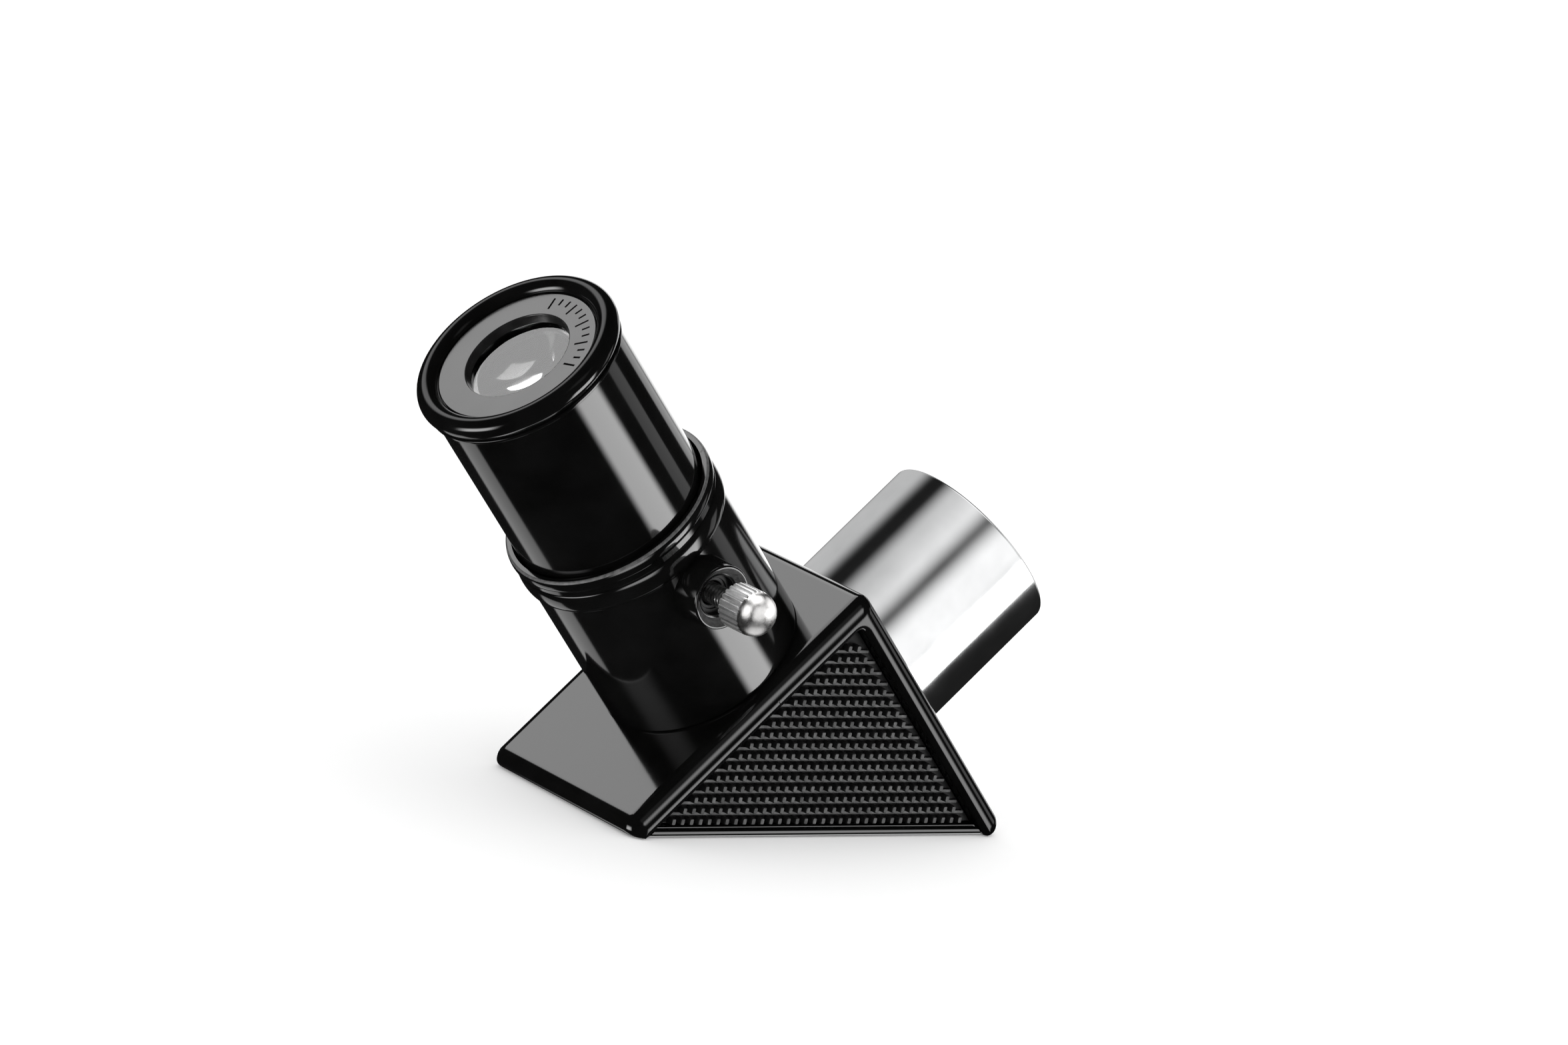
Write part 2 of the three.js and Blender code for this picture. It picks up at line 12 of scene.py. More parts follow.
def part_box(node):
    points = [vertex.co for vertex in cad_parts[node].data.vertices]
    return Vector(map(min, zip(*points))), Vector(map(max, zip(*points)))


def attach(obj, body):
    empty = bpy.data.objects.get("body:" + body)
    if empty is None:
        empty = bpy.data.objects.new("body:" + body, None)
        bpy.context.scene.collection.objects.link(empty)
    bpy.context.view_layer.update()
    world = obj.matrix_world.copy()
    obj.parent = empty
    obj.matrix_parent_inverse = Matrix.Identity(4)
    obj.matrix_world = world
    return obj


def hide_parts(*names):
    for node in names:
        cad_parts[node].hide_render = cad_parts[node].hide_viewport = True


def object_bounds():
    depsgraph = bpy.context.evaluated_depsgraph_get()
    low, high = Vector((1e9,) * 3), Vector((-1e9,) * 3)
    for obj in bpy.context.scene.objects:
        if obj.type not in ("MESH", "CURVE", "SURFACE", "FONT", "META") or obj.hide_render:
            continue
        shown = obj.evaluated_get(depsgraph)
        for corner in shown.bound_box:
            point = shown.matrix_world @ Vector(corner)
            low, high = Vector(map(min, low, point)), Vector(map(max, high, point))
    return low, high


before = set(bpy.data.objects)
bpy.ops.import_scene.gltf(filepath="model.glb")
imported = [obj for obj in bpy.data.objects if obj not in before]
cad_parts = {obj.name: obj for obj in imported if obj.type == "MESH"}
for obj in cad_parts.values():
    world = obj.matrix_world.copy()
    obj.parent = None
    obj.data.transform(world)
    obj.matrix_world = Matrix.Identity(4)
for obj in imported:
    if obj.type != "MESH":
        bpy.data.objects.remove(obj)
cad_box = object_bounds()

MM = 0.001
S45 = math.sqrt(0.5)


def node_box(name):
    """A CAD node's lowest and highest corners, in millimetres."""
    return [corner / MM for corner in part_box(name)]


# ---- driving sizes, in millimetres --------------------------------------------------------------

ROUND_SIDES = 160  # large round pieces
SMALL_SIDES = 48  # screws and holes
ARC_STEPS = 8  # steps in the arc of a rounded corner
OVERRUN = 1  # how far a cutter passes the surface that it opens

APEX_ROUND = 2.1
END_ROUND = 3.0
BASE_ROUND = 1.2
EDGE_ROUND = (2.9, 2.7)  # rounding of the housing's outer edges, across the side and into it
BASE_HALF = node_box("prism_housing")[1].x
HOUSING_HALF = node_box("prism_housing")[1].y
APEX_HEIGHT = node_box("prism_housing")[1].z + APEX_ROUND * (math.sqrt(2) - 1)
MIRROR_TOP = node_box("mirror")[1].z
TUBE_FROM_APEX = (APEX_HEIGHT - MIRROR_TOP) * S45  # the optical axes cross on the mirror's face
FACE_WALL = 2.4
CAVITY_HALF = 15.0
CAVITY_END = 29.6
SIDE_BEAD = 4.1  # width of the raised frame along each leg of a side
BEAD_ROUND = (1.2, 1.1)  # rounding of the frame's inner edge, across the side and into it
RECESS_FLOOR = 16.2
RECESS_ROUND = 1.2
SEAM_DOWN_LEG = 22.6  # parting mark across the frame, measured from the apex
SEAM_HALF = 0.07
SEAM_DEPTH = 0.12
LIGHT_R = 14.2
LEDGE_LENGTH_HALF = 21
LEDGE_EDGE = 13.4  # inner edge of a mirror ledge, from the middle plane
LEDGE_THICKNESS = 2
POST_R = 2.4
POST_TOP = 20

COVER_HALF = 34.0
COVER_WIDTH_HALF = 18.6
COVER_TOP = 1.5
COVER_ROUND = 0.65
COVER_PLUG = (25.0, 14.7, 2.5)  # half length, half width and top of the step that locates the cover
RABBET_WIDTH = 0.75
RABBET_FOOT = 1.2
SCREW_X = 27.4
SCREW_Y = 12.9
SCREW_HEAD_R = 2.3
SCREW_SHANK_R = 1.1
SCREW_LENGTH = 7.0
SCREW_SUNK = 0.05  # how far the heads sit below the cover's face
SCREW_NECK = 1.25  # where the countersink ends
SCREW_THREAD_FOOT = 2.4
SCREW_THREAD_PITCH = 0.9
SLOT_HALF = (1.25, 0.27)
SLOT_DEPTH = 0.75

PIN_PITCH = 1.77
PIN_ROWS = 17
PIN_HALF = (0.44, 0.56)  # half width along X and half height along Z
PIN_TOP = 18.1
FIRST_ROW = 2.4  # height of the lowest row's middle
PANEL_FLOOR = 16.7
PANEL_BASE = 16.3
PANEL_FOOT = 1.85
RAIL_HEIGHT = 0.42  # thickness of the ledge under a row of pins
RAIL_RISE = 0.5  # how far it stands off the panel's floor

BARREL_R = node_box("nosepiece_barrel")[1].y
HOLDER_R = 16.8
HOLDER_BORE_R = 16.0
HOLDER_HEIGHT = 34.4
HOLDER_SPIGOT_R = 15.9
NOSE_SPIGOT_R = 15.2
NOSE_LENGTH = 27.0
SPIGOT_DEPTH = 2.8
STOP_HEIGHT = 9.0
RING_R = 17.5  # crest of the mouth's bead and rim
GROOVE_R = 17.05
BEAD_MIDDLE = 29.5
BEAD_HALF = 1.7
RIM_FOOT = 32.2
RIM_MIDDLE = 33.2
MOUTH_FACE_R = 16.95
SEAT_GAP = 0.1  # a seated edge's visible seam

CLAMP_HEIGHT = 22.0
BOSS_FOOT = 13.5
BOSS_FOOT_R = 5.5
BOSS_TOP = 21.5
BOSS_TOP_R = 5.15
BOSS_SEAT_R = 4.75  # wide end of the boss's conical seat
STUD_HOLE_FOOT = 12
STUD_HOLE_R = 2.0
STUD_SEAT = 18.8
STUD_R = 1.75
STUD_TIP = 16.1
STUD_END = 28.6
STUD_PITCH = 0.7
THREAD_DEPTH = 0.42
THREAD_SIDES = 36
THREAD_STEPS = 8  # rows of points in one pitch
KNOB_R = 3.6
KNOB_NECK = (23.7, 2.3)  # where the collar under the head starts, and its radius
KNOB_START = 24.7
KNOB_SHOULDER = 29.8
KNOB_END = 32.5
KNOB_SOCKET_END = 28.9
FLUTES = 24
FLUTE_DEPTH = 0.4
FLUTE_SECTION = (0, 0, 0, 0, 0, 0.4, 0.9, 1, 0.9, 0.4)  # depth round one flute, as shares

LIP_HEIGHT = 66.3
LIP_CENTRE_R = 15.15
LIP_SECTION_R = 1.75
FACE_HEIGHT = 66.7
CAP_R = 13.2
CAP_SEAT = 65.2
TICKS_EACH_SIDE = 6
TICK_MIDDLE = -30  # degrees round the eyepiece
TICK_STEP = 8
TICK_REACH = (9.9, 10.9, 12.2)  # inner end of a long tick and of a short one, and the outer end
TICK_HALF = 0.19
TICK_DEPTH = 0.5
EYE_LENS_SEAT = 63.2
SIGHT_HOLE_R = 8.75
EYE_LENS_R = 9.4
WEB_FOOT = 60.3
BARREL_BORE_R = 14.9
TRAIN_R = 14.7  # outside of the rings in the barrel

CAMERA_AZIMUTH = -40.6
CAMERA_ELEVATION = 12.2
CAMERA_ROLL = 11.6
CAMERA_DISTANCE = 1260.0
CAMERA_TARGET = (1.1, 6.0, 44.2)
CAMERA_LENS = 182.7


# ---- places -------------------------------------------------------------------------------------

def face_matrix(direction):
    """Z out along the tube that stands on a face, X along the face: -1 is the sight face, 1 the other."""
    along = TUBE_FROM_APEX * S45
    lift = Matrix.Translation((direction * along, 0, APEX_HEIGHT - along))
    return lift @ Matrix.Rotation(direction * math.pi / 4, 4, "Y")


PART = Matrix.Identity(4)
SIGHT = face_matrix(-1)
TELESCOPE = face_matrix(1)
CLAMP = SIGHT @ Matrix.Translation((0, 0, CLAMP_HEIGHT)) @ Matrix.Rotation(math.pi / 2, 4, "X")
TO_METRES = Matrix.Scale(MM, 4)


# ---- outlines -----------------------------------------------------------------------------------

def rounded(corners, steps=ARC_STEPS):
    """An outline from corners (x, y) or (x, y, radius), with each radius drawn as an arc."""
    points = []
    for i, corner in enumerate(corners):
        here = Vector(corner[:2])
        radius = corner[2] if len(corner) > 2 else 0
        if radius == 0:
            points.append(here)
            continue
        back = (Vector(corners[i - 1][:2]) - here).normalized()
        ahead = (Vector(corners[(i + 1) % len(corners)][:2]) - here).normalized()
        half = back.angle(ahead) / 2
        centre = here + (back + ahead).normalized() * (radius / math.sin(half))
        start = here + back * (radius / math.tan(half)) - centre
        side = math.copysign(1, back.cross(ahead))
        sweep = math.pi - 2 * half
        for step in range(steps + 1):
            angle = -side * sweep * step / steps
            cos, sin = math.cos(angle), math.sin(angle)
            points.append(centre + Vector((start.x * cos - start.y * sin, start.x * sin + start.y * cos)))
    return points


def arc(centre, radius, first, last, steps):
    """Points of an arc about centre, from angle first to last, in radians."""
    angles = [first + (last - first) * step / steps for step in range(steps + 1)]
    return [(centre[0] + radius * math.cos(a), centre[1] + radius * math.sin(a)) for a in angles]


def bulge(centre, half_axes, first, last, steps):
    """Points of an ellipse about centre, from one quarter turn to another."""
    quarter = math.pi / 2
    turns = [quarter * (first + (last - first) * step / steps) for step in range(steps + 1)]
    return [(centre[0] + half_axes[0] * math.cos(t), centre[1] + half_axes[1] * math.sin(t)) for t in turns]


def dome(radius, foot, height, steps=14):
    """A shallow dome's points, from its edge at (radius, foot) to its middle. A negative height sinks."""
    sphere = (radius * radius + height * height) / (2 * height)
    spread = math.asin(radius / abs(sphere))
    points = []
    for step in range(steps + 1):
        angle = spread * (1 - step / steps)
        points.append((abs(sphere) * math.sin(angle), foot + height - sphere + sphere * math.cos(angle)))
    return points


def wedge_outline(inset):
    """The housing's side view with its legs and ends moved in by inset, as points in X and Z.

    Each end wall has to stay longer than its two corners' roundings take, or the outline crosses itself
    and the cuts leave nothing of the housing. The largest inset leaves it 0.07 mm to spare.
    """
    half = BASE_HALF - inset
    apex = APEX_HEIGHT - inset * math.sqrt(2)
    end_round = max(END_ROUND - inset, 0.3)
    apex_round = max(APEX_ROUND - inset * 0.6, 0.3)
    corners = [(half, 0, BASE_ROUND), (half, apex - half, end_round), (0, apex, apex_round)]
    corners += [(-half, apex - half, end_round), (-half, 0, BASE_ROUND)]
    return rounded(corners)


def leg_outline(inset, foot, apex_round):
    """A triangle between the legs moved in by inset, open down to foot, as points in X and Z."""
    apex = APEX_HEIGHT - inset * math.sqrt(2)
    return rounded([(apex - foot, foot), (0, apex, apex_round), (foot - apex, foot)])


# ---- meshes -------------------------------------------------------------------------------------

def mesh_object(name, vertices, faces, matrix=PART):
    """A closed mesh object in metres, its faces pointing out."""
    mesh = bpy.data.meshes.new(name)
    mesh.from_pydata([tuple(TO_METRES @ matrix @ Vector(v)) for v in vertices], [], faces)
    shape = bmesh.new()
    shape.from_mesh(mesh)
    bmesh.ops.recalc_face_normals(shape, faces=shape.faces)
    shape.to_mesh(mesh)
    shape.free()
    made = bpy.data.objects.new(name, mesh)
    bpy.context.scene.collection.objects.link(made)
    return made


def bridge(rings):
    """Quads between neighbouring rings of vertex numbers, or triangles where a ring is one vertex."""
    faces = []
    for lower, upper in zip(rings, rings[1:]):
        count = max(len(lower), len(upper))
        if count == 1:
            continue
        for i in range(count):
            j = (i + 1) % count
            corners = [lower[i % len(lower)], lower[j % len(lower)]]
            corners += [upper[j % len(upper)], upper[i % len(upper)]]
            faces.append(tuple(dict.fromkeys(corners)))
    return faces


def lathe(name, outline, matrix=PART, sides=ROUND_SIDES):
    """A solid of revolution about the matrix's Z axis. The outline's points are (r, z), and it closes."""
    vertices, rings = [], []
    for r, z in outline:
        count = sides if r > 1e-6 else 1
        rings.append(list(range(len(vertices), len(vertices) + count)))
        turns = [2 * math.pi * i / sides for i in range(count)]
        vertices += [(r * math.cos(a), r * math.sin(a), z) for a in turns]
    return mesh_object(name, vertices, bridge(rings + rings[:1]), matrix)


def turned(name, corners, matrix=PART, sides=ROUND_SIDES, steps=ARC_STEPS):
    """A solid of revolution whose corners are (r, z) or (r, z, radius)."""
    return lathe(name, rounded(corners, steps), matrix, sides)


def loft(name, loops, matrix=PART):
    """A solid through loops of points, all of one length, closed by a flat face at each end."""
    size = len(loops[0])
    vertices = [point for loop in loops for point in loop]
    rings = [list(range(i * size, (i + 1) * size)) for i in range(len(loops))]
    faces = bridge(rings) + [tuple(rings[0]), tuple(rings[-1])]
    return mesh_object(name, vertices, faces, matrix)


def sideways(name, layers):
    """A loft along Y. Each layer is (y, outline in X and Z)."""
    return loft(name, [[(p[0], y, p[1]) for p in outline] for y, outline in layers])


def block(name, low, high, matrix=PART):
    """A box between its lowest and highest corners."""
    loops = []
    for z in (low[2], high[2]):
        loops.append([(low[0], low[1], z), (high[0], low[1], z), (high[0], high[1], z), (low[0], high[1], z)])
    return loft(name, loops, matrix)


def mirrored_block(name, low, high, side):
    """A block given for +Y, or its mirror image on the -Y side."""
    ys = sorted((side * low[1], side * high[1]))
    return block(name, (low[0], ys[0], low[2]), (high[0], ys[1], high[2]))


def settle(piece):
    """Applies the piece's modifiers."""
    depsgraph = bpy.context.evaluated_depsgraph_get()
    mesh = bpy.data.meshes.new_from_object(piece.evaluated_get(depsgraph))
    piece.modifiers.clear()
    piece.data = mesh
    return piece


def combine(piece, others, operation="DIFFERENCE"):
    """Cuts the others out of the piece, or joins them to it, and removes them."""
    for other in others:
        modifier = piece.modifiers.new("combine", "BOOLEAN")
        modifier.operation = operation
        modifier.solver = "EXACT"
        modifier.object = other
        settle(piece)
        bpy.data.objects.remove(other)
    return piece


def smooth(piece, sharp=32, edge=0.0):
    """Bevels the piece's edges by edge, then shades it smooth except at edges over sharp degrees."""
    if edge:
        bevel = piece.modifiers.new("edge", "BEVEL")
        bevel.width = edge * MM
        bevel.segments = 2
        bevel.limit_method = "ANGLE"
        bevel.angle_limit = math.radians(sharp)
        settle(piece)
    piece.data.shade_smooth()
    piece.data.set_sharp_from_angle(angle=math.radians(sharp))
    modifier = piece.modifiers.new("normals", "WEIGHTED_NORMAL")
    modifier.keep_sharp = True
    return settle(piece)


def true_cylinders(piece, matrix, radii):
    """Gives the faces of the cylinders about the matrix's Z axis their exact radial normals."""
    mesh = piece.data
    to_local = (TO_METRES @ matrix).inverted()
    local = [to_local @ vertex.co for vertex in mesh.vertices]
    normals = [Vector(corner.vector) for corner in mesh.corner_normals]
    turn = matrix.to_3x3()
    for face in mesh.polygons:
        first = local[face.vertices[0]].xy.length
        if min(abs(first - r) for r in radii) > 0.02:
            continue
        facing = turn.transposed() @ face.normal
        if abs(facing.z) > 0.02 or any(abs(local[v].xy.length - first) > 0.02 for v in face.vertices):
            continue
        for loop in face.loop_indices:
            at = local[mesh.loops[loop].vertex_index]
            radial = Vector((at.x, at.y, 0)).normalized()
            normals[loop] = turn @ (radial if radial.dot(facing) > 0 else -radial)
    mesh.normals_split_custom_set(normals)
    return piece


# ---- materials ----------------------------------------------------------------------------------

def grain(nodes, links, coordinates, scale, detail, low, high):
    """A noise's value, spread between low and high."""
    noise = nodes.new("ShaderNodeTexNoise")
    noise.inputs["Scale"].default_value = scale
    noise.inputs["Detail"].default_value = detail
    links.new(coordinates, noise.inputs["Vector"])
    spread = nodes.new("ShaderNodeMapRange")
    spread.inputs["From Min"].default_value = 0.3
    spread.inputs["From Max"].default_value = 0.7
    spread.inputs["To Min"].default_value = low
    spread.inputs["To Max"].default_value = high
    links.new(noise.outputs["Fac"], spread.inputs["Value"])
    return spread.outputs["Result"]


def surface(name, colors, roughness, bump, patch=60, metallic=0.0):
    """A procedural material.

    colors are its darkest and lightest colours, roughness its lowest and highest values, each varied in
    patches; bump is the relief's noise scale per metre and its height in metres.
    """
    made = bpy.data.materials.new(name)
    made.use_nodes = True
    nodes, links = made.node_tree.nodes, made.node_tree.links
    shader = nodes["Principled BSDF"]
    shader.inputs["Metallic"].default_value = metallic
    coordinates = nodes.new("ShaderNodeTexCoord").outputs["Object"]
    ramp = nodes.new("ShaderNodeValToRGB")
    ramp.color_ramp.elements[0].color = (*colors[0], 1)
    ramp.color_ramp.elements[1].color = (*colors[1], 1)
    links.new(grain(nodes, links, coordinates, patch * 2, 4, 0, 1), ramp.inputs["Fac"])
    links.new(ramp.outputs["Color"], shader.inputs["Base Color"])
    links.new(grain(nodes, links, coordinates, patch, 5, *roughness), shader.inputs["Roughness"])
    relief = nodes.new("ShaderNodeBump")
    relief.inputs["Strength"].default_value = 1.0
    relief.inputs["Distance"].default_value = bump[1]
    links.new(grain(nodes, links, coordinates, bump[0], 3, 0, 1), relief.inputs["Height"])
    links.new(relief.outputs["Normal"], shader.inputs["Normal"])
    return made


def grey(value, tint=0.0):
    return (value, value, value * (1 + tint))


def lens_glass():
    made = surface("lens_glass", (grey(0.95), grey(1.0)), (0.0, 0.01), (300, 2e-8))
    shader = made.node_tree.nodes["Principled BSDF"]
    shader.inputs["Transmission Weight"].default_value = 1.0
    shader.inputs["IOR"].default_value = 1.6
    return made


GLOSS_BLACK = surface("gloss_black", (grey(0.0012), grey(0.0028)), (0.05, 0.11), (220, 1.6e-6))
RUBBED_BLACK = surface("rubbed_black", (grey(0.035), grey(0.085)), (0.3, 0.5), (5200, 1.6e-5), 900)
GRIP_BLACK = surface("grip_black", (grey(0.007), grey(0.013)), (0.34, 0.5), (3800, 5e-6), 700)
SATIN_BLACK = surface("satin_black", (grey(0.008), grey(0.014)), (0.16, 0.22), (2600, 1.0e-6), 200)
# Dull black for the barrel's inside and the stud hole; on the grip panels' floor it is painted shade between
# the pins.
INNER_BLACK_AND_PAINTED_SHADE = surface("inner_black_and_painted_shade", (grey(0.004), grey(0.009)), (0.55, 0.75), (1800, 8e-6), 300)
SCREW_TINTS = (grey(0.03, 0.1), grey(0.055, 0.1))
SCREW_BLACK = surface("screw_black", SCREW_TINTS, (0.28, 0.42), (3000, 3e-6), 900, 0.9)
NICKEL_TINTS = ((0.80, 0.79, 0.78), (0.92, 0.91, 0.90))
NICKEL = surface("nickel", NICKEL_TINTS, (0.22, 0.38), (2400, 3.5e-6), 1100, 1.0)
KNURLED = surface("knurled_nickel", (grey(0.82), grey(0.92)), (0.46, 0.6), (2400, 3e-6), 1100, 1.0)
# Nickel painted dark for the threaded stud: painted shade where the boss's socket keeps the light off it.
PAINTED_SHADE_NICKEL = surface("nickel_painted_shade", (grey(0.25), grey(0.4)), (0.3, 0.45), (2400, 4e-6), 1100, 1.0)
CHROME_TINTS = ((0.84, 0.845, 0.85), (0.92, 0.925, 0.93))
CHROME = surface("chrome", CHROME_TINTS, (0.08, 0.14), (240, 6e-7), 90, 1.0)
SILVER = surface("silver", (grey(0.9, 0.01), grey(0.93, 0.01)), (0.005, 0.015), (200, 1e-7), 60, 1.0)
FOAM = surface("foam", (grey(0.03), grey(0.07)), (0.85, 1.0), (1500, 1.5e-4), 800)
GLASS = lens_glass()


# ---- making a piece -----------------------------------------------------------------------------

CHROMED, NICKELLED, HOUSED, ROUND = [], [], [], []  # the pieces, sorted by how they are lit
HOUSING_NODES = ("prism_housing", "rear_cover", "near_grip_panel", "far_grip_panel")


def dress(piece, finish, body, node):
    """Gives the piece its material and slot, and sets it on its body in place of the CAD node."""
    if not piece.data.materials:
        piece.data.materials.append(finish)
    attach(piece, body)
    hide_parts(node)
    if finish is CHROME:
        CHROMED.append(piece)
    elif finish is NICKEL:
        NICKELLED.append(piece)
    elif node in HOUSING_NODES:
        HOUSED.append(piece)
    else:
        ROUND.append(piece)
    return piece


def rub(piece, matrix, touches):
    """Makes the piece gloss black, but rubbed where touches(r, z, facing) holds at a face's middle."""
    mesh = piece.data
    mesh.materials.append(GLOSS_BLACK)
    mesh.materials.append(RUBBED_BLACK)
    to_local = (TO_METRES @ matrix).inverted()
    turn = matrix.to_3x3().transposed()
    for face in mesh.polygons:
        at = to_local @ face.center
        if touches(at.xy.length, at.z, (turn @ face.normal).z):
            face.material_index = 1


# ---- prism housing ------------------------------------------------------------------------------

def housing_block():
    """The housing before it is hollowed, with rounded edges and corners."""
    across, into = EDGE_ROUND
    steps = 2 * ARC_STEPS
    turns = [math.pi / 2 * step / steps for step in range(steps + 1)]
    rises = [(into * math.sin(turn), across * (1 - math.cos(turn))) for turn in turns]
    flat = HOUSING_HALF - into
    layers = [(-flat - rise, inset) for rise, inset in reversed(rises)]
    layers += [(flat + rise, inset) for rise, inset in rises]
    return sideways("prism_housing_shell", [(y, wedge_outline(inset)) for y, inset in layers])


def cavity():
    """The light path's hollow, less the mirror ledges and the screw posts that stand in it."""
    inner_apex = APEX_HEIGHT - FACE_WALL * math.sqrt(2)
    outline = [(CAVITY_END, -OVERRUN), (CAVITY_END, inner_apex - CAVITY_END), (0, inner_apex)]
    outline += [(-CAVITY_END, inner_apex - CAVITY_END), (-CAVITY_END, -OVERRUN)]
    hollow = sideways("hollow", [(-CAVITY_HALF, outline), (CAVITY_HALF, outline)])
    ledge_low = (-LEDGE_LENGTH_HALF, LEDGE_EDGE, MIRROR_TOP + 0.1)
    ledge_high = (LEDGE_LENGTH_HALF, CAVITY_HALF + OVERRUN, MIRROR_TOP + 0.1 + LEDGE_THICKNESS)
    post_foot = COVER_TOP + 0.1
    standing = []
    for side in (-1, 1):
        standing.append(mirrored_block("ledge", ledge_low, ledge_high, side))
        for end in (-1, 1):
            place = Matrix.Translation((end * SCREW_X, side * SCREW_Y, 0))
            corners = [(0, post_foot), (POST_R, post_foot), (POST_R, POST_TOP), (0, POST_TOP)]
            standing.append(turned("post", corners, place, SMALL_SIDES))
    return combine(hollow, standing)


def side_recess(side):
    """The cutter for a side's recess. It flares at the surface, which rounds the frame's inner edge."""
    turns = [math.pi / 2 * step / ARC_STEPS for step in range(ARC_STEPS + 1)]
    across, into = BEAD_ROUND
    depths = [(RECESS_FLOOR, 0.0)]
    depths += [(HOUSING_HALF - into * (1 - math.sin(t)), across * (1 - math.cos(t))) for t in turns]
    depths += [(HOUSING_HALF + OVERRUN, across)]
    layers = []
    for y, flare in depths:
        layers.append((side * y, leg_outline(SIDE_BEAD - flare, -OVERRUN, RECESS_ROUND + flare)))
    return sideways("recess", layers)


def parting_mark():
    """A hair-thin groove across the near frame, down the sight leg."""
    down = Matrix.Translation((0, 0, APEX_HEIGHT)) @ Matrix.Rotation(-math.pi / 4, 4, "Y")
    low = (-SEAM_DOWN_LEG - SEAM_HALF, -HOUSING_HALF - OVERRUN, -SIDE_BEAD)
    high = (-SEAM_DOWN_LEG + SEAM_HALF, -HOUSING_HALF + SEAM_DEPTH, OVERRUN)
    return block("parting", low, high, down)


def prism_housing():
    """The wedge, with a hollow for the light, a pocket for the cover, and holes for tubes and screws."""
    shell = housing_block()
    pocket_high = (COVER_HALF + 0.2, RECESS_FLOOR, COVER_TOP + 0.1)
    pocket = block("pocket", (-COVER_HALF - 0.2, -RECESS_FLOOR, -OVERRUN), pocket_high)
    cutters = [cavity(), pocket, side_recess(-1), side_recess(1), parting_mark()]
    foot = -SPIGOT_DEPTH - 0.2
    for matrix, r in ((SIGHT, HOLDER_SPIGOT_R + 0.1), (TELESCOPE, NOSE_SPIGOT_R + 0.1)):
        cutters.append(turned("hole", [(0, foot), (r, foot), (r, OVERRUN), (0, OVERRUN)], matrix))
    pilot_r = SCREW_SHANK_R + 0.15
    pilot_end = SCREW_LENGTH + 1
    for x in (-SCREW_X, SCREW_X):
        for y in (-SCREW_Y, SCREW_Y):
            corners = [(0, 0), (pilot_r, 0), (pilot_r, pilot_end), (0, pilot_end)]
            cutters.append(turned("pilot", corners, Matrix.Translation((x, y, 0)), SMALL_SIDES))
    combine(shell, cutters)
    smooth(shell)
    dress(shell, GLOSS_BLACK, "diagonal", "prism_housing")


# ---- rear cover and its screws ------------------------------------------------------------------

def cover_plate(wing_end):
    """The rear cover's plate, with its long outer edges rounded."""
    turns = [math.pi / 2 * step / ARC_STEPS for step in range(ARC_STEPS + 1)]
    rises = [(COVER_ROUND * math.sin(turn), COVER_ROUND * (1 - math.cos(turn))) for turn in turns]
    flat = COVER_WIDTH_HALF - COVER_ROUND
    rows = [(-flat - rise, inset) for rise, inset in reversed(rises)]
    rows += [(flat + rise, inset) for rise, inset in rises]
    layers = []
    for y, inset in rows:
        top = COVER_TOP - inset
        outline = [(wing_end - inset, inset), (wing_end - top, top)]
        outline += [(top - wing_end, top), (inset - wing_end, inset)]
        layers.append((y, outline))
    return sideways("rear_cover_plate", layers)


def rear_cover():
    """The plate let into the base, with a wing between the legs' ends under each grip panel."""
    wing_end = APEX_HEIGHT - (SIDE_BEAD + 0.2) * math.sqrt(2)
    cover = cover_plate(wing_end)
    body_y = RECESS_FLOOR - 0.2
    body = block("body", (-COVER_HALF, -body_y, 0), (COVER_HALF, body_y, COVER_TOP))
    plug_x, plug_y, plug_top = COVER_PLUG
    plug = block("plug", (-plug_x, -plug_y, COVER_TOP / 2), (plug_x, plug_y, plug_top))
    combine(cover, [body, plug], "UNION")
    rabbet_low = (-wing_end, COVER_WIDTH_HALF - RABBET_WIDTH, RABBET_FOOT)
    rabbet_high = (wing_end, COVER_WIDTH_HALF + OVERRUN, 2)
    head, shank, above = SCREW_HEAD_R + 0.2, SCREW_SHANK_R + 0.3, 3
    hole = [(0, -OVERRUN), (head, -OVERRUN), (head, SCREW_SUNK)]
    hole += [(shank, SCREW_NECK), (shank, above), (0, above)]
    cutters = []
    for side in (-1, 1):
        cutters.append(mirrored_block("rabbet", rabbet_low, rabbet_high, side))
        for end in (-1, 1):
            place = Matrix.Translation((end * SCREW_X, side * SCREW_Y, 0))
            cutters.append(turned("screw_hole", hole, place, SMALL_SIDES))
    combine(cover, cutters)
    smooth(cover, edge=0.06)
    dress(cover, GLOSS_BLACK, "diagonal", "rear_cover")


def cover_screw(number, x, y):
    """A countersunk, cross-recessed screw with its head in the cover's outer face."""
    place = Matrix.Translation((x, y, 0))
    root = SCREW_SHANK_R - 0.25
    corners = [(0, SCREW_SUNK), (SCREW_HEAD_R, SCREW_SUNK, 0.1)]
    corners += [(SCREW_SHANK_R, SCREW_NECK), (SCREW_SHANK_R, SCREW_THREAD_FOOT)]
    z = SCREW_THREAD_FOOT
    while z < SCREW_LENGTH - 1.2:
        corners += [(SCREW_SHANK_R, z + 0.3), (root, z + 0.45), (root, z + 0.75)]
        z += SCREW_THREAD_PITCH
    corners += [(0.25, SCREW_LENGTH), (0, SCREW_LENGTH)]
    screw = turned(f"cover_screw_{number}", corners, place, SMALL_SIDES, 4)
    spin = place @ Matrix.Rotation(0.6 + 1.1 * number, 4, "Z")
    long, short = SLOT_HALF
    slots = [block("slot", (-long, -short, -OVERRUN), (long, short, SLOT_DEPTH), spin)]
    slots.append(block("slot", (-short, -long, -OVERRUN), (short, long, SLOT_DEPTH), spin))
    combine(screw, slots)
    smooth(screw, edge=0.04)
    dress(screw, SCREW_BLACK, "diagonal", f"rear_cover_screw_{number}")


